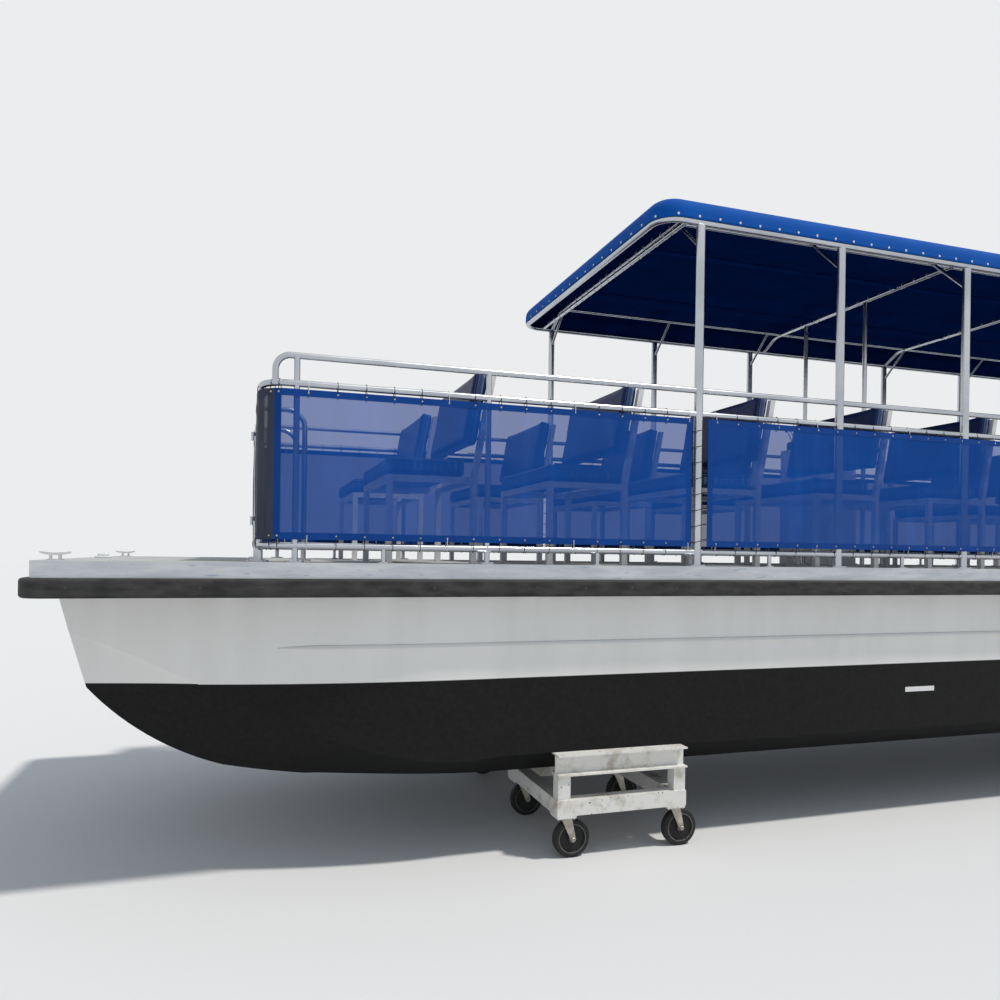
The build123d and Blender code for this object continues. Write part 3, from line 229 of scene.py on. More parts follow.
def dolly_material():
    m = Nodes("dolly_paint")
    dirt = m.noise(9, 5.0, rough=0.65)
    spots = m.noise(45, 3.0)
    dusty = m.mix(m.remap(dirt, 0.50, 0.72), (0.74, 0.73, 0.69), (0.42, 0.37, 0.30))
    m.color(m.mix(m.remap(spots, 0.68, 0.73), dusty, (0.16, 0.095, 0.055)))
    m.rough(0.6)
    m.bump(spots, 0.2, 0.001)
    return m.mat


def deck_material():
    """Worn non-slip covering with a seam every sheet's length."""
    m = Nodes("deck_sheet")
    grain = m.noise(320, 2.0)
    worn = m.noise(3, 5.0)
    wrap = m.calc("WRAP", m.place()[0], SHEET_LENGTH / 2, -SHEET_LENGTH / 2)
    seam = m.remap(m.calc("ABSOLUTE", wrap), 0.002, 0.004, 1, 0)
    sheet = m.mix(m.remap(worn, 0.35, 0.7), (0.48, 0.49, 0.48), (0.38, 0.385, 0.37))
    m.color(m.mix(seam, sheet, (0.10, 0.10, 0.10)))
    m.rough(m.remap(grain, 0.3, 0.7, 0.75, 0.92))
    m.bump(grain, 0.35, 0.001)
    return m.mat


def band_material():
    """Rolled silver edging with soft blotches."""
    m = Nodes("edge_band")
    blotch = m.noise(6, 4.0, (0.6, 1, 3.5), 0.6)
    sharp = m.noise(22, 3.0, (0.5, 1, 4))
    base = m.mix(m.remap(blotch, 0.38, 0.66), (0.46, 0.49, 0.53), (0.60, 0.62, 0.64))
    m.color(m.mix(m.remap(sharp, 0.66, 0.74), base, (0.30, 0.37, 0.50)))
    m.rough(m.remap(blotch, 0.3, 0.7, 0.42, 0.30))
    m.bump(blotch, 0.12, 0.003)
    m.set(Metallic=0.9)
    return m.mat


def boxing_material():
    """Pleated side cloth: the light ribs are painted highlights on the pleat crests, over the dark blue
    ground of the cloth, and the highlights are patchy with noise.
    """
    m = Nodes("seat_boxing")
    x, y, _ = m.place()
    turns = m.calc("MULTIPLY", m.calc("ADD", x, y), 2 * math.pi / PLEAT_STEP)
    rib = m.calc("SINE", turns)
    highlight_patch = m.noise(14, 3.0)
    # painted highlight: the rib crests lighter blue, brighter in noisy patches
    rib_highlight = m.mix(m.remap(highlight_patch, 0.4, 0.65), (0.07, 0.12, 0.26), (0.20, 0.27, 0.42))
    m.color(m.mix(m.remap(rib, -0.1, 0.5), (0.020, 0.040, 0.120), rib_highlight))
    m.rough(0.55)
    m.bump(m.remap(rib, -1, 1), 0.6, 0.003)
    return m.mat


# Columns: light, dark, noise scale, roughness range; then metallic, bump, stretch and coat as far as needed
PLAIN_LOOKS = {
    "bright": ((0.56, 0.58, 0.62), (0.44, 0.47, 0.52), 2.5, (0.20, 0.30), 1.0),
    "mill": ((0.56, 0.57, 0.58), (0.38, 0.39, 0.41), 6, (0.38, 0.52), 1.0, 0.0, (0.4, 1, 3)),
    "rubber": ((0.022, 0.022, 0.022), (0.013, 0.013, 0.013), 20, (0.60, 0.78)),
    "fender": ((0.050, 0.049, 0.047), (0.016, 0.016, 0.016), 14, (0.60, 0.80), 0.0, 0.15, (0.6, 1, 2)),
    "dusty": ((0.17, 0.165, 0.15), (0.06, 0.058, 0.054), 60, (0.6, 0.8)),
    "white": ((0.78, 0.78, 0.77), (0.70, 0.70, 0.69), 12, (0.30, 0.42)),
    "vinyl": ((0.008, 0.022, 0.105), (0.006, 0.015, 0.075), 260, (0.38, 0.50), 0.0, 0.25),
    "shell": ((0.78, 0.78, 0.76), (0.74, 0.74, 0.72), 10, (0.25, 0.35), 0.0, 0.0, (1, 1, 1), 0.3),
    "black": ((0.030, 0.030, 0.032), (0.018, 0.018, 0.020), 60, (0.45, 0.60), 0.0, 0.1),
    "brushed": ((0.54, 0.55, 0.57), (0.47, 0.48, 0.50), 40, (0.34, 0.46), 1.0, 0.1, (1, 1, 0.04)),
    "zinc": ((0.52, 0.50, 0.45), (0.30, 0.28, 0.24), 22, (0.35, 0.55), 1.0),
    "motor": ((0.022, 0.023, 0.026), (0.016, 0.017, 0.019), 8, (0.22, 0.32), 0.0, 0.0, (1, 1, 1), 0.5),
    "steel": ((0.66, 0.66, 0.66), (0.54, 0.54, 0.54), 30, (0.22, 0.35), 1.0),
    "cord": ((0.76, 0.76, 0.73), (0.60, 0.60, 0.58), 200, (0.60, 0.80)),
    "dark_cord": ((0.020, 0.020, 0.022), (0.012, 0.012, 0.014), 200, (0.5, 0.7)),
    "gauge": ((0.030, 0.032, 0.035), (0.020, 0.022, 0.025), 90, (0.12, 0.2), 0.0, 0.0, (1, 1, 1), 0.6),
    "lens": ((0.80, 0.81, 0.80), (0.74, 0.75, 0.74), 40, (0.12, 0.2), 0.0, 0.0, (1, 1, 1), 0.5),
}
MAT = {key: speckled(f"{key}_look", *columns) for key, columns in PLAIN_LOOKS.items()}
for key, shine in (("vinyl", 0.15), ("rubber", 0.3), ("fender", 0.3), ("dark_cord", 0.2)):
    MAT[key].node_tree.nodes["Principled BSDF"].inputs["Specular IOR Level"].default_value = shine
MAT.update(
    hull=hull_material(),
    deck=deck_material(),
    band=band_material(),
    dolly=dolly_material(),
    boxing=boxing_material(),
    canvas=fabric("canopy_cloth", (0.001, 0.090, 0.410), (0.001, 0.074, 0.350), 0.04),
    lining=fabric("canopy_lining", (0.0020, 0.017, 0.105), (0.0015, 0.012, 0.080), 0.0, shine=0.0),
    net=netting("mesh_cloth", (0.004, 0.075, 0.355), 0.78),
    # front nets and their hems: a dark slate copy of the net and hem, colour that paints the shade and
    # edge-on sheen of the front net
    front_net=netting("front_mesh", (0.058, 0.064, 0.092), 0.92),
    front_hem=fabric("front_hem", (0.054, 0.060, 0.088), (0.044, 0.050, 0.076), 0.0),
    hem=fabric("mesh_hem", (0.006, 0.058, 0.270), (0.004, 0.045, 0.220), 0.05),
)

# Looks, and how the names of their CAD nodes begin. The first that fits counts.
CAD_LOOKS = {
    "hull": "hull_",
    "band": "deck_edge",
    "mill": "deck_frame",
    "deck": "deck",
    "fender": "rub_rail",
    "bright": ("rails", "canopy_posts", "canopy_frame"),
    "white": "seat_frames",
    "shell": "helm_console",
    "black": "helm_wheel",
    "steel": ("cleats", "propeller"),
    "dolly": "dolly_frames",
    "brushed": ("bow_gate", "gate_"),
    "zinc": "caster_fork",
    "rubber": "caster_wheel",
    "motor": ("motor", "swivel"),
}
for name, node in nodes.items():
    look = next((look for look, starts in CAD_LOOKS.items() if name.startswith(starts)), None)
    if look:
        node.data.materials.clear()
        node.data.materials.append(MAT[look])

# Mesh helpers


def placed(name, data):
    """A new object in the scene."""
    obj = bpy.data.objects.new(name, data)
    scene.collection.objects.link(obj)
    return obj


def new_object(name, verts, faces, look, body=ROOT, smooth=True):
    mesh = bpy.data.meshes.new(name)
    mesh.from_pydata([tuple(v) for v in verts], [], faces)
    mesh.materials.append(MAT[look])
    mesh.polygons.foreach_set("use_smooth", [smooth] * len(mesh.polygons))
    mesh.update()
    obj = placed(name, mesh)
    if body:
        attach(obj, body)
    return obj


def apply_modifiers(obj):
    bpy.context.view_layer.update()
    graph = bpy.context.evaluated_depsgraph_get()
    mesh = bpy.data.meshes.new_from_object(obj.evaluated_get(graph), depsgraph=graph)
    old = obj.data
    obj.modifiers.clear()
    obj.data = mesh
    bpy.data.meshes.remove(old)


def surface(mesh, moved=Matrix()):
    """A mesh's faces, for rays to meet."""
    return BVHTree.FromPolygons([moved @ v.co for v in mesh.vertices], [p.vertices for p in mesh.polygons])


def circle(count):
    """Even angles round a circle."""
    return np.linspace(0, 2 * math.pi, count, endpoint=False)


def turned(centre, axis, profile, count):
    """Rings of points for (radius, height) pairs, turned about an axis."""
    turn = UP.rotation_difference(Vector(axis))
    return [
        [Vector(centre) + turn @ Vector((r * math.cos(a), r * math.sin(a), h)) for a in circle(count)]
        for r, h in profile
    ]


def rounded_outline(half_x, half_y, radius, per_side, per_corner):
    """Points round a rounded rectangle, anticlockwise from above, with outward normals."""
    arcs = []
    for sx, sy, start in ((1, 1, 0), (-1, 1, 90), (-1, -1, 180), (1, -1, 270)):
        centre = Vector((sx * (half_x - radius), sy * (half_y - radius)))
        arc = []
        for k in range(per_corner + 1):
            a = math.radians(start + 90 * k / per_corner)
            n = Vector((math.cos(a), math.sin(a)))
            arc.append((centre + n * radius, n))
        arcs.append(arc)
    points = []
    for i, arc in enumerate(arcs):
        points.extend(arc)
        (here, turn), (after, after_turn) = arc[-1], arcs[(i + 1) % 4][0]
        count = per_side[i % 2]
        for t in (k / count for k in range(1, count)):
            points.append((here.lerp(after, t), turn.lerp(after_turn, t).normalized()))
    return points


def off_line(p, n, out, z, centre=(0, 0)):
    """The point at a height and a distance off a place p in plan, along its outward normal n."""
    return Vector((centre[0] + p.x + n.x * out, centre[1] + p.y + n.y * out, z))


class Pile:
    """Collects many small shapes into one mesh."""

    def __init__(self):
        self.verts = []
        self.faces = []

    def add(self, verts, faces):
        base = len(self.verts)
        self.verts.extend(tuple(v) for v in verts)
        self.faces.extend(tuple(base + i for i in face) for face in faces)

    def ring_shape(self, rings, closed_ends=True, loop=False):
        """Joins rings of equal count into a tube."""
        count = len(rings[0])
        faces = []
        for i in range(len(rings) if loop else len(rings) - 1):
            j = (i + 1) % len(rings)
            for k in range(count):
                n = (k + 1) % count
                faces.append((i * count + k, i * count + n, j * count + n, j * count + k))
        if closed_ends and not loop:
            faces.append(tuple(range(count))[::-1])
            faces.append(tuple((len(rings) - 1) * count + k for k in range(count)))
        self.add([v for ring in rings for v in ring], faces)

    def dome(self, centre, normal, radius, height, segments=12, steps=3):
        """A rounded button that stands on a surface."""
        angles = [math.pi / 2 * s / steps for s in range(steps + 1)]
        profile = [(radius * max(math.cos(a), 0.08), height * math.sin(a)) for a in angles]
        self.ring_shape(turned(centre, normal, profile, segments))

    def loop_tube(self, points, radius):
        """A closed tube along a closed list of points."""
        pts = [Vector(p) for p in points]
        count = len(pts)
        normal = (pts[1] - pts[0]).cross(pts[count // 2] - pts[0]).normalized()
        rings = []
        for i, p in enumerate(pts):
            ahead = (pts[(i + 1) % count] - pts[i - 1]).normalized()
            side = ahead.cross(normal).normalized()
            rings.append([p + radius * (side * math.cos(a) + normal * math.sin(a)) for a in circle(6)])
        self.ring_shape(rings, loop=True)

    def ring(self, centre, axis, radius, thick):
        """A round cord or wire bent into a circle."""
        self.loop_tube(turned(centre, axis, [(radius, 0)], 14)[0], thick)

    def lathe(self, centre, axis, profile, segments=24):
        """A closed profile of (radius, height) pairs turned about an axis."""
        self.ring_shape(turned(centre, axis, profile, segments), loop=True)

    def nut(self, centre, axis, radius, height):
        """A six-sided nut or bolt head with an eased top."""
        profile = ((radius, 0), (radius, height * 0.8), (radius * 0.88, height))
        self.ring_shape(turned(centre, axis, profile, 6))

    def slab(self, centre, half_x, half_y, corner, levels):
        """A rounded rectangle through levels of (inset, height) above its centre."""
        edge = rounded_outline(half_x, half_y, corner, (2, 2), 5)
        rings = [[off_line(p, n, -inset, centre[2] + up, centre) for p, n in edge] for inset, up in levels]
        self.ring_shape(rings)

    def box(self, low, high):
        (x0, y0, z0), (x1, y1, z1) = low, high
        verts = [(x, y, z) for x in (x0, x1) for y in (y0, y1) for z in (z0, z1)]
        faces = [(0, 1, 3, 2), (4, 6, 7, 5), (0, 4, 5, 1), (2, 3, 7, 6), (0, 2, 6, 4), (1, 5, 7, 3)]
        self.add(verts, faces)

    def make(self, name, look, slot, body=ROOT, smooth=True):
        return new_object(name, self.verts, self.faces, look, body, smooth)


# Canopy cloth: one curved sheet from the hem, over the shoulder, to the crown
HEM_Z = TUBE_Z + 0.007
BAND_TOP = TUBE_Z + 0.050
SHOULDER_R = 0.085
SHOULDER_STEPS = 7
CROWN_RISE = 0.085
CROWN_STEPS = 16
CLOTH_OUT = 0.0225
CLOTH_CORNER = 0.152
CLOTH_THICK = 0.003
CLOTH_SAG = 0.012
SAG_SPAN = 1.4


def sag_between(x):
    """How far the cloth hangs between two cross-bows."""
    stations = [x_at(aft) for aft in (CANOPY_ENDS[0], *BOW_STATIONS, CANOPY_ENDS[1])]
    for a, b in zip(stations, stations[1:]):
        if a <= x <= b:
            t = (x - a) / (b - a)
            return CLOTH_SAG * min(1.0, (b - a) / SAG_SPAN) * 4 * t * (1 - t)
    return 0.0


def build_canopy():
    mid = x_at(sum(CANOPY_ENDS) / 2)
    half_x = (CANOPY_ENDS[1] - CANOPY_ENDS[0]) / 2 + CLOTH_OUT
    half_y = RAIL_Y + CLOTH_OUT
    outline = rounded_outline(half_x, half_y, CLOTH_CORNER, (26, 66), 12)
    levels = [(0.0, z) for z in (HEM_Z, HEM_Z + 0.012, HEM_Z + 0.026, BAND_TOP)]
    for k in range(1, SHOULDER_STEPS + 1):
        a = math.pi / 2 * k / SHOULDER_STEPS
        levels.append((SHOULDER_R * (1 - math.cos(a)), BAND_TOP + SHOULDER_R * math.sin(a)))
    rings = [[off_line(p, n, -inset, z, (mid, 0)) for p, n in outline] for inset, z in levels]
    edge = [p - n * SHOULDER_R for p, n in outline]
    spine_half = half_x - half_y
    for k in range(1, CROWN_STEPS + 1):
        t = 1 - k / CROWN_STEPS
        ring = []
        for e in edge:
            q = Vector((min(max(e.x, -spine_half), spine_half), 0)).lerp(e, t)
            rise = CROWN_RISE * (1 - t * t) - sag_between(mid + q.x) * (1 - t ** 4)
            ring.append((mid + q.x, q.y, BAND_TOP + SHOULDER_R + rise))
        rings.append(ring)
    pile = Pile()
    pile.ring_shape(rings, closed_ends=False)
    obj = pile.make("canopy_cloth", "canvas", "canopy_cloth", body=None)
    obj.data.materials.append(MAT["lining"])
    bm = bmesh.new()
    bm.from_mesh(obj.data)
    bmesh.ops.remove_doubles(bm, verts=bm.verts, dist=0.0005)
    bmesh.ops.recalc_face_normals(bm, faces=bm.faces)
    if max(bm.faces, key=lambda f: f.calc_center_median().z).normal.z < 0:
        bmesh.ops.reverse_faces(bm, faces=bm.faces)
    area = sum(f.calc_area() for f in bm.faces)
    bm.to_mesh(obj.data)
    bm.free()
    solid = obj.modifiers.new("thick", "SOLIDIFY")
    solid.thickness = CLOTH_THICK
    solid.offset = -1
    solid.material_offset = 1
    solid.material_offset_rim = 0
    apply_modifiers(obj)
    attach(obj, ROOT)
    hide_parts("canopy")
    return obj, outline, mid


canopy_cloth, outline, canopy_mid = build_canopy()

# Snap buttons along the band
SNAP_STEP = 0.134
SNAP_Z = TUBE_Z + 0.023
snaps = Pile()
travelled, next_snap = 0.0, 0.0
for (here, n), (after, after_n) in zip(outline, outline[1:] + outline[:1]):
    span = (after - here).length
    while next_snap <= travelled + span:
        t = (next_snap - travelled) / span
        out = n.lerp(after_n, t).normalized()
        spot = off_line(here.lerp(after, t), out, 0.0002, SNAP_Z, (canopy_mid, 0))
        snaps.dome(spot, (*out, 0), 0.0075, 0.0040)
        next_snap += SNAP_STEP
    travelled += span
snaps.make("canopy_snaps", "white", "white_paint")

# Netting panels: paths in plan, with hems, grommets and lacing round the rails
NET_LOW = DECK + 0.111
NET_HIGH = DECK + 0.836
NET_STEP = 0.02
NET_ROWS = np.linspace(NET_LOW, NET_HIGH, 22)
NET_END = 0.02
END_FADE = 0.08
BILLOW = 0.0032
PANEL_JOINT = 0.048
THIN_OUT = STANCHION_R + 0.0018
THICK_OUT = POST_R + 0.0018
FRONT_NET_REACH = 0.075
HEM_WIDE = 0.034
HEM_IN = -0.0012
HEM_OUT = 0.0022
LACE_STEP = 0.14
LACE_R = 0.0019
LACE_GAP = 0.0035
POST_LACE_STEP = 0.09
POST_LACE_GAP = 0.005


def plan_path(points, bend):
    """Even steps along straight runs with rounded corners: place, direction, distance walked."""
    pts = [Vector(p) for p in points]
    dense = [pts[0]]
    for before, p, after in zip(pts, pts[1:], pts[2:]):
        come = (p - before).normalized()
        go = (after - p).normalized()
        for k in range(13):
            a = math.pi / 2 * k / 12
            dense.append(p - come * bend * (1 - math.sin(a)) + go * bend * (1 - math.cos(a)))
    dense.append(pts[-1])
    lengths = [0.0]
    for a, b in zip(dense, dense[1:]):
        lengths.append(lengths[-1] + (b - a).length)
    count = round(lengths[-1] / NET_STEP)
    samples = []
    for k in range(count + 1):
        s = lengths[-1] * k / count
        i = max(j for j in range(len(dense) - 1) if lengths[j] <= s + 1e-9)
        t = (s - lengths[i]) / max(lengths[i + 1] - lengths[i], 1e-9)
        samples.append((dense[i].lerp(dense[i + 1], t), (dense[i + 1] - dense[i]).normalized(), s))
    return samples


def net_walks():
    """Columns: name, side that the walk turns its back on, walk, offset from the fence line, look."""
    walks = []
    front_x = x_at(FRONT_RAIL) - THIN_OUT
    stern_x = x_at(STERN_RAIL) + THIN_OUT
    first, last = x_at(CANOPY_POSTS[0]), x_at(CANOPY_POSTS[-1])
    bend = CORNER + THIN_OUT
    for side, word in SIDES:
        thin_y = side * (RAIL_Y + THIN_OUT)
        thick_y = side * (RAIL_Y + THICK_OUT)
        bow = [(first - PANEL_JOINT, thin_y), (front_x, thin_y), (front_x, side * (BOW_GATE_HALF + NET_END))]
        fore = [(x_at(GATE_POSTS[0] - NET_END), thick_y), (first + PANEL_JOINT, thick_y)]
        rear = [(last - PANEL_JOINT, thick_y), (x_at(GATE_POSTS[1] + NET_END), thick_y)]
        stern = [(last + PANEL_JOINT, thin_y), (stern_x, thin_y), (stern_x, side * NET_END)]
        # a bow net ends at its corner, where the net of the front begins; the front net is a darker, greyer
        # copy of the net, which paints its shade and edge-on sheen
        samples = plan_path(bow, bend)
        cut = next(i for i, (p, _, _) in enumerate(samples) if p.x < x_at(FRONT_RAIL) + FRONT_NET_REACH)
        rest = [(p, direction, s - samples[cut][2]) for p, direction, s in samples[cut:]]
        walks += [
            (f"net_bow_{word}", side, samples[: cut + 1], THIN_OUT, "net"),
            (f"net_front_{word}", side, rest, THIN_OUT, "front_net"),
            (f"net_fore_{word}", side, plan_path(fore, 0), THICK_OUT, "net"),
            (f"net_aft_{word}", side, plan_path(rear, 0), THICK_OUT, "net"),
            (f"net_stern_{word}", -side, plan_path(stern, bend), THIN_OUT, "net"),
        ]
    return walks


def billow(s, z, seed):
    """How far the net stands out between its hems: a belly, long folds and tight fans at the ties."""
    up = (z - NET_LOW) / (NET_HIGH - NET_LOW)
    belly = math.sin(math.pi * up) ** 0.7
    fold_highlight = 1 + 0.5 * math.sin(s * 2.3 + seed) + 0.5 * math.sin(s * 7.1 + 2 * seed + 2.0 * up)
    fan = math.cos(2 * math.pi * s / LACE_STEP) * (math.exp(-up / 0.12) + math.exp((up - 1) / 0.12))
    return belly * (BILLOW * fold_highlight + 0.0012 * (1 + fan))


grommets, white_laces, dark_laces = Pile(), Pile(), Pile()
for seed, (name, turn, samples, out, look) in enumerate(net_walks()):
    total = samples[-1][2]
    outward = [Vector((direction.y, -direction.x)) * turn for _, direction, _ in samples]
    verts, faces = [], []
    for (p, _, s), n in zip(samples, outward):
        ends = max(0, min(1.0, s / END_FADE, (total - s) / END_FADE))
        verts.extend(off_line(p, n, billow(s, z, seed) * ends, z) for z in NET_ROWS)
    rows = len(NET_ROWS)
    for i in range(len(samples) - 1):
        for k in range(i * rows, (i + 1) * rows - 1):
            faces.append((k, k + rows, k + rows + 1, k + 1))
    net = new_object(name, verts, faces, look)
    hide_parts("mesh_panels")
    # folded strips along the four edges
    hem = Pile()
    for low, high in ((NET_LOW, NET_LOW + HEM_WIDE), (NET_HIGH - HEM_WIDE, NET_HIGH)):
        section = ((HEM_IN, low), (HEM_OUT, low), (HEM_OUT, high), (HEM_IN, high))
        hem.ring_shape([[off_line(p, n, o, z) for o, z in section] for (p, _, _), n in zip(samples, outward)])
    section = ((HEM_IN, 0), (HEM_OUT, 0), (HEM_OUT, 1), (HEM_IN, 1))
    for index, way in ((0, HEM_WIDE), (-1, -HEM_WIDE)):
        (p, direction, _), n = samples[index], outward[index]
        levels = (NET_LOW + HEM_WIDE, NET_HIGH - HEM_WIDE)
        hem.ring_shape([[off_line(p + direction * way * d, n, o, z) for o, d in section] for z in levels])
    hem_piece = hem.make(name.replace("net", "hem"), look.replace("net", "hem"), "mesh_cloth", smooth=False)
    # grommets, and a tie from each round its rail
    steps = int(total / LACE_STEP)
    margin = (total - steps * LACE_STEP) / 2
    for k in range(steps + 1):
        s = margin + k * LACE_STEP
        i = min(range(len(samples)), key=lambda j: abs(samples[j][2] - s))
        p, n = samples[i][0], outward[i]
        laces = white_laces if (k + 2 * seed) % 5 == 0 else dark_laces
        for z, rail_z in ((NET_HIGH - HEM_WIDE / 2, RAIL_MID), (NET_LOW + HEM_WIDE / 2, RAIL_LOW)):
            grommets.dome(off_line(p, n, HEM_OUT, z), (*n, 0), 0.0050, 0.0012, steps=2)
            reach = abs(rail_z - z) / 2 + RAIL_R + 0.003
            ring = []
            for a in circle(18):
                away = (RAIL_R + LACE_GAP) * math.cos(a)
                if math.sin(a) * (rail_z - z) < 0:
                    away = (out + LACE_GAP) * math.cos(a) if math.cos(a) > 0 else away * 0.6
                ring.append(off_line(p, n, away - out, (z + rail_z) / 2 + reach * math.sin(a)))
            laces.loop_tube(ring, LACE_R)
for aft in (CANOPY_POSTS[0], CANOPY_POSTS[-1]):
    for side, _ in SIDES:
        for z in np.arange(NET_LOW + 0.03, NET_HIGH, POST_LACE_STEP):
            ring = []
            for a in circle(22):
                wide = (PANEL_JOINT + HEM_WIDE * 0.5) * math.cos(a) * (0.75 if math.sin(a) < 0 else 1)
                deep = ((THICK_OUT if math.sin(a) > 0 else POST_R) + POST_LACE_GAP) * math.sin(a)
                ring.append((x_at(aft) + wide, side * (RAIL_Y + deep), z + 0.012 * math.cos(a)))
            dark_laces.loop_tube(ring, LACE_R)
grommets.make("net_grommets", "zinc", "zinc_steel")
white_laces.make("net_lacing_white", "cord", "white_paint")
dark_laces.make("net_lacing_black", "dark_cord", "rubber")

# Seats: one cushion and one back, filled by a cloth simulation, then copied to every place
SEAT_ROWS = [(aft, -1) for aft in (2.19, 3.07, 3.95, 4.83, 5.71)]
SEAT_ROWS += [(aft, 1) for aft in (2.19, 3.07, 3.95, 4.83)]
SEAT_ROWS += [(aft, side) for side in (-1, 1) for aft in (7.55, 8.43, 9.31, 10.19)]
SEAT_Y = 0.665
SEAT_WIDTH = 0.84
SEAT_DEPTH = 0.48
SEAT_TUBE = 0.032
SEAT_RAIL_TOP = 0.455
SEAT_POST_TOP = 1.0
BACK_LEAN = math.radians(10)
BACK_OVER_POST = 0.030
BACK_HALF_HIGH = 0.205
BACK_HALF_THICK = 0.040
BACK_GAP = 0.0004
CUSHION_LIP = 0.02
CUSHION_HALF_THICK = 0.0478
CUSHION = (0.447, SEAT_WIDTH - 0.002, 0.0945)
BACKREST = (0.0795, SEAT_WIDTH - 0.002, 0.408)
PAD_SHRINK = 0.006
VOXEL = 0.012
SWELL_CAP = 0.012
CLOTH_FRAMES = 14
CLOTH_SETTINGS = {
    "quality": 5,
    "mass": 0.3,
    "use_pressure": True,
    "uniform_pressure_force": 4.0,
    "tension_stiffness": 25,
    "compression_stiffness": 25,
    "shear_stiffness": 12,
    "bending_stiffness": 0.6,
}
PIPING_R = 0.0042
PIPING_CORNER = 0.03
PIPING_REACH = 0.032


def inflated(obj, start):
    """The vertices after a cloth simulation has blown the pad up, none moved further than the cap."""
    cloth = obj.modifiers.new("cloth", "CLOTH")
    for key, value in CLOTH_SETTINGS.items():
        setattr(cloth.settings, key, value)
    cloth.settings.effector_weights.gravity = 0
    cloth.collision_settings.use_collision = False
    cloth.collision_settings.use_self_collision = False
    for number in range(1, CLOTH_FRAMES + 1):
        scene.frame_set(number)
    apply_modifiers(obj)
    scene.frame_set(1)
    shift = np.array([v.co for v in obj.data.vertices]) - start
    length = np.linalg.norm(shift, axis=1, keepdims=True)
    return start + shift * np.minimum(1.0, SWELL_CAP / np.maximum(length, 1e-9))


def stuffed(name, size):
    """A rounded block of the given size, blown up a little."""
    inner = np.array(size) - 2 * PAD_SHRINK
    mesh = bpy.data.meshes.new(name)
    bm = bmesh.new()
    bmesh.ops.create_cube(bm, size=1)
    bmesh.ops.scale(bm, vec=Vector(inner), verts=bm.verts)
    bmesh.ops.bevel(bm, geom=list(bm.edges), offset=min(size) * 0.22, segments=4, affect="EDGES", profile=0.6)
    bm.to_mesh(mesh)
    bm.free()
    obj = placed(name, mesh)
    remesh = obj.modifiers.new("remesh", "REMESH")
    remesh.mode = "VOXEL"
    remesh.voxel_size = VOXEL
    apply_modifiers(obj)
    start = np.array([v.co for v in obj.data.vertices])
    moved = inflated(obj, start)
    limit = np.array(size) / 2 - 0.0005
    obj.data.vertices.foreach_set("co", np.clip(moved, -limit, limit).astype(np.float32).ravel())
    obj.data.polygons.foreach_set("use_smooth", [True] * len(obj.data.polygons))
    obj.data.update()
    return obj


def upholstered(name, size, thin):
    """A pad with vinyl on its broad faces, boxing cloth on its narrow ones and piping between them."""
    obj = stuffed(name, size)
    mesh = obj.data
    for look in ("vinyl", "boxing", "vinyl"):
        mesh.materials.append(MAT[look])
    for poly in mesh.polygons:
        flat = abs(poly.normal[thin]) > 0.75 or abs(poly.center[thin]) > size[thin] / 2 * 0.72
        poly.material_index = 0 if flat else 1
    # sewn cords round both broad faces, laid on the rounded edge where the mesh really is
    tree = surface(mesh)
    first, second = (axis for axis in range(3) if axis != thin)
    pile = Pile()
    for face in (-1, 1):
        spots = []
        for p, n in rounded_outline(size[first] / 2, size[second] / 2, PIPING_CORNER, (8, 12), 6):
            way = Vector((0, 0, 0))
            way[first], way[second], way[thin] = -n.x, -n.y, -face
            start = -PIPING_REACH * way
            start[first] += p.x
            start[second] += p.y
            start[thin] += face * size[thin] / 2
            spots.append(tree.ray_cast(start, way.normalized())[0])
        pile.loop_tube(spots, PIPING_R)
    bm = bmesh.new()
    bm.from_mesh(mesh)
    corners = [bm.verts.new(v) for v in pile.verts]
    for face in pile.faces:
        made = bm.faces.new([corners[i] for i in face])
        made.material_index = 2
        made.smooth = True
    bm.to_mesh(mesh)
    bm.free()
    mesh.update()
    return obj


cushion = upholstered("seat_cushion_01", CUSHION, 2)
backrest = upholstered("seat_back_01", BACKREST, 0)
slope = math.tan(BACK_LEAN)
cushion_x = -slope * (SEAT_POST_TOP - SEAT_RAIL_TOP) - (SEAT_DEPTH + SEAT_TUBE) / 2 - CUSHION_LIP
cushion_z = DECK + SEAT_RAIL_TOP + CUSHION_HALF_THICK
back_x = slope * (BACK_OVER_POST - BACK_HALF_HIGH) - SEAT_TUBE - BACK_GAP - BACK_HALF_THICK
back_z = DECK + SEAT_POST_TOP + BACK_OVER_POST - BACK_HALF_HIGH
for number, (aft, side) in enumerate(SEAT_ROWS, start=1):
    pad = cushion if number == 1 else placed(f"seat_cushion_{number:02d}", cushion.data)
    rest = backrest if number == 1 else placed(f"seat_back_{number:02d}", backrest.data)
    pad.location = (x_at(aft) + cushion_x, side * SEAT_Y, cushion_z)
    rest.location = (x_at(aft) + back_x, side * SEAT_Y, back_z)
    rest.rotation_euler = (0, BACK_LEAN, 0)
    for piece, node in ((pad, "seat_cushions"), (rest, "seat_backs")):
        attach(piece, ROOT)
        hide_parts(node)

# Bolt heads along the fender
BOLT_STEP = 0.27
FENDER_Z = DECK - 0.119
places = [
    ((x, side * (BEAM / 2 - 0.0006), FENDER_Z), (0, side, 0))
    for side, _ in SIDES
    for x in np.arange(x_at(0.2), x_at(DECK_LENGTH - 0.15), BOLT_STEP)
]
places += [
    ((end_x - way * 0.0006, y, FENDER_Z), (way, 0, 0))
    for end_x, way in ((x_at(0), -1), (x_at(DECK_LENGTH), 1))
    for y in np.arange(-1.08, 1.09, BOLT_STEP)
]
bolts = Pile()
for spot, way in places:
    bolts.dome(spot, way, 0.009, 0.0018, steps=2)
bolts.make("fender_bolts", "black", "rubber")

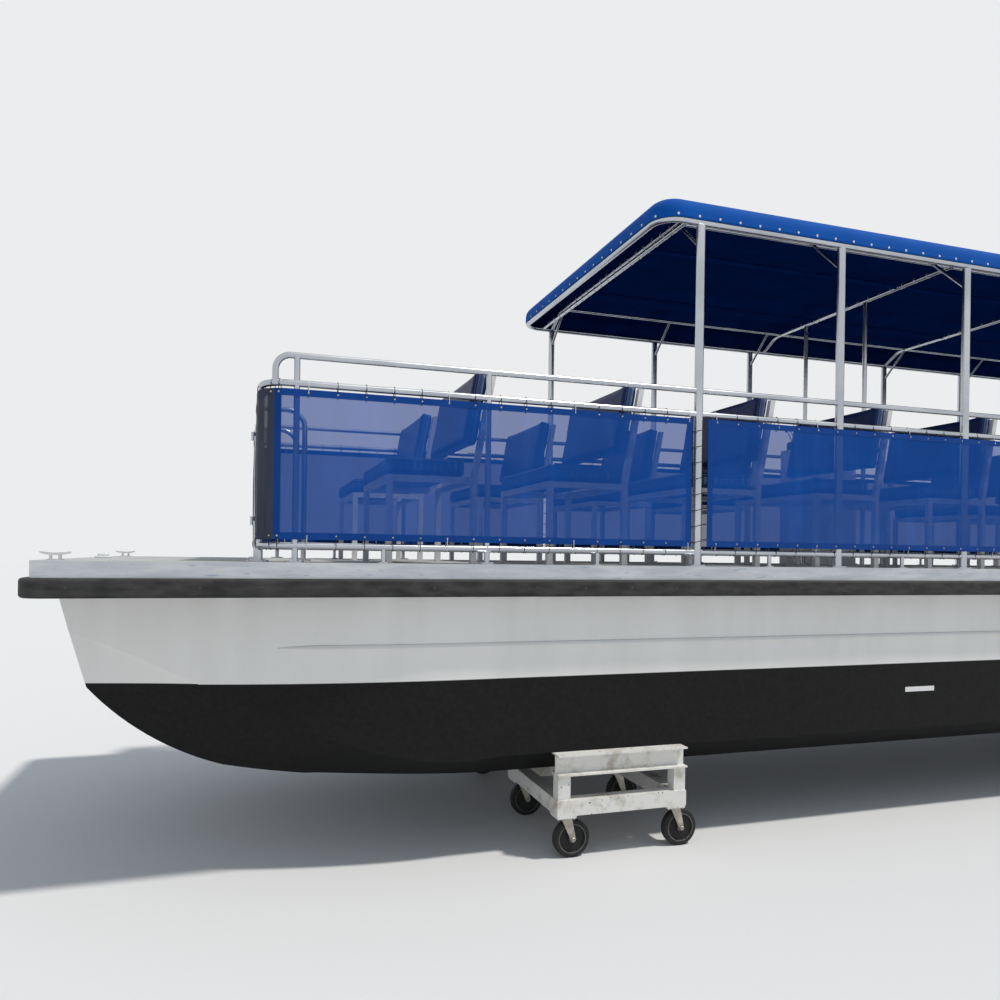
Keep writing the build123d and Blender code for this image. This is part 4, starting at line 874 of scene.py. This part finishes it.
# Pressed ledge along the outer side of each hull, and a pale strip below the waterline
LEDGE_Z = DECK - 0.420
LEDGE_PROUD = 0.013
LEDGE_HALF = 0.015
LEDGE_START = 1.09
LEDGE_STATIONS = [LEDGE_START + 0.03 * k for k in range(8)] + list(np.linspace(1.35, 11.50, 60))
# Columns: rise and distance off the hull, as shares of the half height and of how proud the shape stands
LEDGE_SECTION = ((-0.8, -0.3), (-0.75, 0.9), (-0.55, 1.0), (0.1, 0.75), (0.6, 0.35), (1.3, -0.2))
STRIP_STATIONS = np.linspace(4.88, 5.11, 6)
# Height, section, half height, how proud the shape stands
STRIP = (DECK - 0.760, ((-1, -1), (-1, 1.5), (1, 1.5), (1, -1)), 0.015, 0.001)


def hull_ring(tree, side, aft, z, section, high, proud):
    """Points that stand off a hull, from where level lines from abeam meet it."""
    ring = []
    for rise, out in section:
        start = Vector((x_at(aft), side * BEAM, z + rise * high))
        spot, normal, _, _ = tree.ray_cast(start, Vector((0, -side, 0)))
        ring.append(spot + normal * out * proud)
    return ring


for side, word in SIDES:
    hull = nodes[f"hull_{word}"]
    tree = surface(hull.data, hull.matrix_world)
    ledge, strip = Pile(), Pile()
    rings = []
    for aft in LEDGE_STATIONS:
        grow = min(1.0, (aft - LEDGE_START) / 0.20) ** 0.5
        high, proud = LEDGE_HALF * max(grow, 0.25), LEDGE_PROUD * max(grow, 0.15)
        rings.append(hull_ring(tree, side, aft, LEDGE_Z, LEDGE_SECTION, high, proud))
    ledge.ring_shape(rings)
    ledge.make(f"hull_ledge_{word}", "hull", "hull_paint")
    strip.ring_shape([hull_ring(tree, side, aft, *STRIP) for aft in STRIP_STATIONS])
    strip.make(f"hull_strip_{word}", "white", "white_paint", smooth=False)

# Light on the bow, on the centreline
LIGHT_BASE = ((0, -0.001), (0, 0.008), (0.003, 0.011), (0.008, 0.012))
LIGHT_LENS = ((0, 0.0115), (0.0005, 0.020), (0.003, 0.026), (0.008, 0.030), (0.014, 0.0315))
light_spot = (x_at(0.145), 0, DECK)
bow_light, bow_lens = Pile(), Pile()
bow_light.slab(light_spot, 0.045, 0.030, 0.022, LIGHT_BASE)
bow_lens.slab(light_spot, 0.032, 0.020, 0.018, LIGHT_LENS)
bow_light.make("bow_light_base", "white", "white_paint")
bow_lens.make("bow_light_lens", "lens", "console_shell")

# Lashing round the cross-bows and the two end ties
BOW_Z = DECK + 2.060
BOW_R = 0.016
TIE_Z = TUBE_Z + 0.004
TIE_R = 0.014
TIE_STATIONS = (CANOPY_ENDS[0] + 0.17, CANOPY_ENDS[1] - 0.17)
LASH_STEP = 0.110
LASH_R = 0.0024
LASH_WAY = (0.2, 1, 0)
lashing = Pile()
for stations, z, radius, half in ((BOW_STATIONS, BOW_Z, BOW_R, 0.82), (TIE_STATIONS, TIE_Z, TIE_R, 1.0)):
    for aft in stations:
        for y in np.arange(-half, half + 0.001, LASH_STEP):
            lashing.ring((x_at(aft), y, z), LASH_WAY, radius + LASH_R * 0.2, LASH_R)
lashing.make("canopy_lashing", "cord", "white_paint")

# Cloth sleeves over the tubes that run along the middle of the canopy
SLEEVE_Y = 0.45
SLEEVE_R = 0.0160
SLEEVE_LOOSE = 0.0015
SLEEVE_GAP = 0.030
sleeves = Pile()
for side, _ in SIDES:
    for front, back in zip(BOW_STATIONS, BOW_STATIONS[1:]):
        rings = []
        for aft in np.linspace(front + SLEEVE_GAP, back - SLEEVE_GAP, 40):
            r = SLEEVE_R + SLEEVE_LOOSE * abs(math.sin(9 * aft + side))
            y = side * SLEEVE_Y
            rings.append([(x_at(aft), y + r * math.cos(a), BOW_Z + r * math.sin(a)) for a in circle(12)])
        sleeves.ring_shape(rings)
sleeves.make("canopy_sleeves", "lining", "canopy_cloth")

# Screws in the feet of the posts and stanchions
POST_SCREWS = 0.042
SCREWS = 0.034
STANCHIONS = (FRONT_RAIL + 0.16, 2.13, *GATE_POSTS, 9.72, STERN_RAIL - 0.16)
# Columns: aft, across, radius of the screw circle
FEET = [(aft, side * RAIL_Y, POST_SCREWS) for aft in CANOPY_POSTS for side, _ in SIDES]
FEET += [(aft, side * RAIL_Y, SCREWS) for aft in STANCHIONS for side, _ in SIDES]
FEET += [(aft, side * 0.99, SCREWS) for aft in (FRONT_RAIL, STERN_RAIL) for side, _ in SIDES]
FEET += [(aft, side * BOW_GATE_HALF, SCREWS) for aft in (FRONT_RAIL, FRONT_RAIL + 0.25) for side, _ in SIDES]
FEET += [(STERN_RAIL, 0, SCREWS), (BOW_STATIONS[1], -0.12, SCREWS), (BOW_STATIONS[1], 0.559, SCREWS)]
screws = Pile()
for aft, across, r in FEET:
    for a in (math.radians(45 + 90 * k) for k in range(4)):
        spot = (x_at(aft) + r * math.cos(a), across + r * math.sin(a), DECK + 0.008)
        screws.dome(spot, UP, 0.0055, 0.0022, segments=10, steps=2)
screws.make("foot_screws", "steel", "aluminium")

# Dollies: weld beads round the posts, and the nuts and bolt heads of the caster plates
DOLLY_LENGTH = 0.770
DOLLY_WIDTH = 0.820
DOLLY_BEAM = 0.080
DOLLY_POST = 0.070
DOLLY_FRONTS = (2.512, DECK_LENGTH - 2.512 - DOLLY_LENGTH)
WELD_LEVELS = (0.319, 0.448)
WELD_R = 0.0038
PLATE = 0.115
PLATE_LOW = 0.223
PLATE_TOP = 0.235
BOLT_OFF = 0.044
NUT_R = 0.0095
dollies = [(x_at(front + DOLLY_LENGTH / 2), side * HULL_Y) for front in DOLLY_FRONTS for side, _ in SIDES]
corners = [(ex, ey) for ex in (-1, 1) for ey in (-1, 1)]
casters = []
welds, plate_bolts = Pile(), Pile()
for x, y in dollies:
    for ex, ey in corners:
        post = (x + ex * (DOLLY_LENGTH - DOLLY_BEAM) / 2, y + ey * (DOLLY_WIDTH - DOLLY_BEAM) / 2)
        edge = rounded_outline(DOLLY_POST / 2, DOLLY_POST / 2, 0.003, (6, 6), 2)
        for z in WELD_LEVELS:
            welds.loop_tube([off_line(p, n, 0, z, post) for p, n in edge], WELD_R)
        plate_x = x + ex * (DOLLY_LENGTH - PLATE) / 2
        plate_y = y + ey * (DOLLY_WIDTH - PLATE) / 2
        casters.append((plate_x, plate_y))
        for bx, by in corners:
            spot = (plate_x + bx * BOLT_OFF, plate_y + by * BOLT_OFF)
            plate_bolts.nut((*spot, PLATE_LOW + 0.0002), -UP, NUT_R, 0.008)
            plate_bolts.dome((*spot, PLATE_LOW - 0.0075), -UP, 0.0045, 0.004, segments=8, steps=2)
        inner = (plate_x - ex * BOLT_OFF, plate_y - ey * BOLT_OFF, PLATE_TOP - 0.0002)
        plate_bolts.nut(inner, UP, NUT_R, 0.007)
welds.make("dolly_welds", "dolly", "dolly_paint")
plate_bolts.make("dolly_bolts", "zinc", "zinc_steel", smooth=False)

# Casters: a nut on each end of the axle, a washer and a bead ring on each side of the wheel
TRAIL = 0.045
WHEEL_R = 0.1015
FORK_FACE = 0.037
HUB_FACE = 0.025
WASHER = ((0.0095, 0.0), (0.0205, 0.0), (0.0195, 0.0018), (0.0095, 0.0018))
BEAD = ((0.0735, 0.0), (0.0790, 0.0), (0.0775, 0.0016), (0.0750, 0.0016))
for number, (pin_x, pin_y) in enumerate(casters, start=1):
    hub = Vector((pin_x + TRAIL, pin_y, WHEEL_R))
    nuts, rims = Pile(), Pile()
    for side, _ in SIDES:
        way = Vector((0, side, 0))
        nuts.nut(hub + way * (FORK_FACE - 0.0002), way, 0.013, 0.0065)
        rims.lathe(hub + way * (HUB_FACE - 0.0003), way, WASHER)
        rims.lathe(hub + way * (HUB_FACE - 0.0023), way, BEAD, 32)
    nuts.make(f"axle_nuts_{number:02d}", "zinc", "zinc_steel", f"caster_fork_{number:02d}", smooth=False)
    rims.make(f"wheel_rings_{number:02d}", "dusty", "zinc_steel", f"caster_wheel_{number:02d}", smooth=False)

# Helm: dials and switches on the sloping dash, a control box on top of the console
DASH_MIDDLE = Vector((x_at(5.735), 0.62, DECK + 0.86))
DASH_OUT = Vector((0.320, 0, 0.160)).normalized()
DASH_UP = Vector((-0.160, 0, 0.320)).normalized()
DASH_SIDE = Vector((0, 1, 0))
DIAL_MARKS = [math.radians(-45 + 270 * k / 8) for k in range(9)]
# Columns: across, up the dash, radius
DIALS = ((-0.250, 0.095, 0.046), (0.250, 0.095, 0.046), (-0.250, -0.020, 0.030), (0.250, -0.020, 0.030))
bezels, dials, marks, switches = Pile(), Pile(), Pile(), Pile()
for across, up, radius in DIALS:
    spot = DASH_MIDDLE + DASH_SIDE * across + DASH_UP * up
    bezel = ((radius, -0.001), (radius, 0.008), (radius - 0.004, 0.010), (radius - 0.006, -0.001))
    bezels.lathe(spot, DASH_OUT, bezel, 28)
    dials.dome(spot, DASH_OUT, radius - 0.005, 0.004, segments=28)
    for a in DIAL_MARKS:
        way = DASH_SIDE * math.cos(a) + DASH_UP * math.sin(a)
        marks.dome(spot + way * (radius - 0.013) + DASH_OUT * 0.0034, DASH_OUT, 0.0014, 0.0008, 6, 1)
for k in range(5):
    spot = DASH_MIDDLE + DASH_SIDE * (0.022 * (k - 2) - 0.250) - DASH_UP * (0.075 + 0.0001 * k)
    switches.nut(spot, DASH_OUT, 0.009, 0.007)
    switches.dome(spot + DASH_OUT * 0.006, DASH_OUT, 0.0035, 0.012, segments=8)
bezels.make("dial_bezels", "steel", "bright_steel")
dials.make("dials", "gauge", "black_plastic")
marks.make("dial_marks", "white", "white_paint")
switches.make("dash_switches", "black", "black_plastic", smooth=False)

CONTROL = Vector((x_at(5.600), 0.845, DECK + 1.020))
CONTROL_LEVELS = ((0, -0.001), (0, 0.050), (0.004, 0.066), (0.014, 0.074))
LEVER_LEAN = 0.055
KNOB_R = 0.0125
control, levers = Pile(), Pile()
control.slab(CONTROL, 0.045, 0.036, 0.012, CONTROL_LEVELS)
for side, _ in SIDES:
    rings = []
    for t in np.linspace(0, 1, 9):
        middle = CONTROL + Vector((-LEVER_LEAN * t * t, side * (0.020 + 0.004 * t), 0.062 + 0.115 * t))
        r = 0.0065 - 0.0015 * t
        rings.append([middle + Vector((r * math.cos(a), r * 0.7 * math.sin(a), 0)) for a in circle(10)])
    levers.ring_shape(rings)
    knob = CONTROL + Vector((-LEVER_LEAN, side * 0.024, 0.168))
    levers.dome(knob, UP, KNOB_R, 0.018, segments=14, steps=4)
    levers.dome(knob, -UP, KNOB_R, 0.008, segments=14)
control.make("control_box", "black", "black_plastic")
levers.make("control_levers", "steel", "bright_steel")

# Motors: a moulded cowl with its skirt, air slots, water grille and the propeller's nut
TRANSOM_X = x_at(DECK_LENGTH + 0.700)
TRANSOM_Z = DECK - 1.173 + 0.640
GEAR_Z = TRANSOM_Z - 0.820
COWL_X = TRANSOM_X + 0.055
COWL_Z = TRANSOM_Z + 0.190
COWL_HIGH = 0.500
COWL_HALF = (0.2925, 0.200)
COWL_TAPER = (0.045, 0.050)
COWL_CORNER = (0.120, 0.110)
COWL_SHIFT = 0.010
# Columns: height on the cowl, how far the moulding stands off it
COWL_SKIRT = ((0.036, -0.004), (0.038, 0.0030), (0.066, 0.0035), (0.069, 0.0008), (0.075, 0.0008))
COWL_SIDE = ((0.078, 0.0045), (0.160, 0.0070), (0.300, 0.0090), (0.420, 0.0080), (0.470, 0.0060))
COWL_TOP = ((0.495, 0.0035), (0.507, -0.0020))
COWL_CROWN = 0.040
CROWN_SHARES = (0.94, 0.85, 0.72, 0.55, 0.35, 0.12)
SLOT_HALF = 0.060
GRILLE_OUT = 0.0505
NUT_PROFILE = ((0.0125, 0.012), (0.0300, 0.012), (0.0290, 0.020), (0.0200, 0.030), (0.0125, 0.034))


def cowl_ring(middle_y, rise, out):
    """Points round the cowl at a height, a distance off its side."""
    t = min(rise / COWL_HIGH, 1.0)
    half_x, half_y = (half - taper * t for half, taper in zip(COWL_HALF, COWL_TAPER))
    edge = rounded_outline(half_x, half_y, COWL_CORNER[0] + (COWL_CORNER[1] - COWL_CORNER[0]) * t, (8, 6), 8)
    middle = (COWL_X + COWL_HALF[0] + COWL_SHIFT * t, middle_y)
    return [off_line(p, n, out, COWL_Z + rise, middle) for p, n in edge]


for side, word in SIDES:
    middle_y = side * HULL_Y
    cowl, slots, cone = Pile(), Pile(), Pile()
    rings = [cowl_ring(middle_y, rise, out) for rise, out in COWL_SKIRT + COWL_SIDE + COWL_TOP]
    shoulder = rings[-1]
    middle_x = sum(p.x for p in shoulder) / len(shoulder)
    spine = COWL_HALF[0] - COWL_TAPER[0] - COWL_HALF[1] + COWL_TAPER[1]
    for t in CROWN_SHARES:
        ring = []
        for p in shoulder:
            core = Vector((middle_x + min(max(p.x - middle_x, -spine), spine), middle_y, p.z))
            ring.append(core.lerp(p, t) + UP * COWL_CROWN * (1 - t * t))
        rings.append(ring)
    cowl.ring_shape(rings)
    for k in range(6):
        rise = 0.395 + 0.013 * k
        z = COWL_Z + rise
        rear = max(p.x for p in cowl_ring(middle_y, rise, 0.0078 - 0.0006 * max(0, k - 2)))
        slots.box((rear - 0.006, middle_y - SLOT_HALF, z), (rear + 0.0015, middle_y + SLOT_HALF, z + 0.0055))
    for k in range(5):
        x = TRANSOM_X + 0.185 + 0.016 * k
        for y in (middle_y - GRILLE_OUT, middle_y + GRILLE_OUT):
            slots.box((x, y - 0.004, GEAR_Z - 0.016), (x + 0.007, y + 0.004, GEAR_Z + 0.016))
    cone.lathe((TRANSOM_X + 0.528, middle_y, GEAR_Z), (1, 0, 0), NUT_PROFILE)
    cowl.make(f"cowl_{word}", "motor", "motor_paint", f"motor_{word}")
    slots.make(f"motor_slots_{word}", "black", "black_plastic", f"motor_{word}", smooth=False)
    cone.make(f"propeller_nut_{word}", "steel", "bright_steel", f"propeller_{word}")

# Gates: rivets round each sheet, on both faces, and a slide latch at the free end of the inner face
GATE_LOW = 0.075
SIDE_HINGE = 6.509
RIVET_INSET = 0.040
RIVET_STEP = 0.118
SHEET_HALF = 0.0015
# Columns: body, corner of the leaf at its hinge, direction of the leaf, width, height, outer side
GATE_LEAVES = (
    ("bow_gate", (x_at(FRONT_RAIL), -0.359), (0, 1), 0.718, 0.865, (-1, 0)),
    ("gate_port", (x_at(SIDE_HINGE), -RAIL_Y), (-1, 0), 0.668, 1.000, (0, -1)),
    ("gate_starboard", (x_at(SIDE_HINGE), RAIL_Y), (-1, 0), 0.668, 1.000, (0, 1)),
)
# Columns for the backing plate and two guides: near and far end from the leaf's edge, reach, half height
LATCH_PARTS = ((0.045, 0.135, 0.0045, 0.022), (0.055, 0.067, 0.0180, 0.014), (0.105, 0.117, 0.0180, 0.014))
LATCH_Z = DECK + 0.640
LATCH_BOLT = ((0.0005, 0.0), (0.0055, 0.0), (0.0055, 0.118), (0.0005, 0.118))


def rivet_row(low, high):
    """Even places along an edge, inset at both its ends."""
    low, high = low + RIVET_INSET, high - RIVET_INSET
    return np.linspace(low, high, round((high - low) / RIVET_STEP) + 1)


for body, corner, along, width, high, out in GATE_LEAVES:
    rivets, latch = Pile(), Pile()
    start, way, face = Vector((*corner, DECK)), Vector((*along, 0)), Vector((*out, 0))
    across, up = rivet_row(0, width), rivet_row(GATE_LOW, high)
    places = [(a, z) for a in across for z in (up[0], up[-1])]
    places += [(a, z) for a in (across[0], across[-1]) for z in up[1:-1]]
    for a, z in places:
        for turn in (-face, face):
            spot = start + way * float(a) + UP * float(z) + turn * SHEET_HALF
            rivets.dome(spot, turn, 0.0045, 0.0018, segments=8, steps=2)
    for near, far, reach, half in LATCH_PARTS:
        a = start + way * (width - far) - face * (SHEET_HALF - 0.0005)
        b = start + way * (width - near) - face * (SHEET_HALF + reach)
        low_corner = (min(a.x, b.x), min(a.y, b.y), LATCH_Z - half)
        latch.box(low_corner, (max(a.x, b.x), max(a.y, b.y), LATCH_Z + half))
    bolt = start + way * (width - 0.150) - face * (SHEET_HALF + 0.0105)
    bolt.z = LATCH_Z
    latch.lathe(bolt, way, LATCH_BOLT, 12)
    latch.dome(bolt + way * 0.040, -face, 0.0065, 0.022, steps=4)
    rivets.make(f"{body}_rivets", "steel", "aluminium", body)
    latch.make(f"{body}_latch", "steel", "bright_steel", body, smooth=False)

# Sewn seams across the canopy, inside and outside
SEAM_HALF = 0.011
SEAM_PLACES = (4.23, 5.494, 6.9, 8.1)
SEAM_SECTION = ((-SEAM_HALF, -0.0015), (-SEAM_HALF, 0.0014), (SEAM_HALF, 0.0014), (SEAM_HALF, -0.0015))
cloth_tree = surface(canopy_cloth.data)
for name, look, from_z, way in (("inner", "lining", DECK + 1.5, UP), ("outer", "canvas", DECK + 3.0, -UP)):
    seams = Pile()
    for x in map(x_at, SEAM_PLACES):
        rings = []
        for y in np.linspace(-1.06, 1.06, 43):
            starts = [(Vector((x + off, y, from_z)), out) for off, out in SEAM_SECTION]
            rings.append([cloth_tree.ray_cast(start, way)[0] - way * out for start, out in starts])
        seams.ring_shape(rings)
    seams.make(f"canopy_seams_{name}", look, "canopy_cloth", smooth=False)

# Camera at the photograph's place
EYE = (-5.522, -5.065, 1.62)
YAW = math.radians(-17.9)
ROLL = math.radians(0.79)
camera_data = bpy.data.cameras.new("camera")
camera_data.sensor_width = 36
camera_data.lens = 28.26
camera_data.shift_y = 0.0535
camera_data.clip_end = 300
camera = placed("camera", camera_data)
camera.location = EYE
camera.rotation_mode = "QUATERNION"
level = Quaternion(UP, YAW) @ Quaternion((1, 0, 0), math.pi / 2)
camera.rotation_quaternion = level @ Quaternion(UP, ROLL)
bpy.context.scene.camera = camera

# Floor, world and lamps
FLOOR_REACH = 90
SKY = ((0.80, 0.88, 1.0), 0.55)
BACKDROP = ((0.93, 0.94, 0.95), 0.9)
floor_look = Nodes("floor")
floor_look.color((0.72, 0.72, 0.715))
floor_look.rough(0.9)
floor_mesh = bpy.data.meshes.new("floor")
floor_corners = [(x * FLOOR_REACH, y * FLOOR_REACH, 0) for x, y in ((-1, -1), (1, -1), (1, 1), (-1, 1))]
floor_mesh.from_pydata(floor_corners, [], [(0, 1, 2, 3)])
floor_mesh.materials.append(floor_look.mat)
placed("floor", floor_mesh)

# The sky lights the boat, and the backdrop is what the camera, metal and glass see instead of it
world = bpy.data.worlds.new("world")
bpy.context.scene.world = world
world.use_nodes = True
sky = Wiring(world.node_tree)
paths = sky.add("ShaderNodeLightPath").outputs
seen = sky.calc("MAXIMUM", paths["Is Camera Ray"], paths["Is Glossy Ray"])
choose = sky.add("ShaderNodeMixShader")
sky.feed(sky.calc("MAXIMUM", seen, paths["Is Transmission Ray"]), choose.inputs[0])
for socket, (color, strength) in zip(choose.inputs[1:], (SKY, BACKDROP)):
    background = sky.add("ShaderNodeBackground")
    sky.feed(color, background.inputs["Color"])
    sky.feed(strength, background.inputs["Strength"])
    sky.feed(background.outputs[0], socket)
sky.feed(choose.outputs[0], sky.add("ShaderNodeOutputWorld").inputs["Surface"])

sun_data = bpy.data.lights.new("sun", "SUN")
sun_data.energy = 2.4
sun_data.angle = math.radians(4)
sun_data.color = (1.0, 0.97, 0.92)
placed("sun", sun_data).rotation_euler = Vector((0.42, -0.30, 1.0)).to_track_quat("Z", "Y").to_euler()

bpy.context.scene.view_settings.view_transform = "Standard"
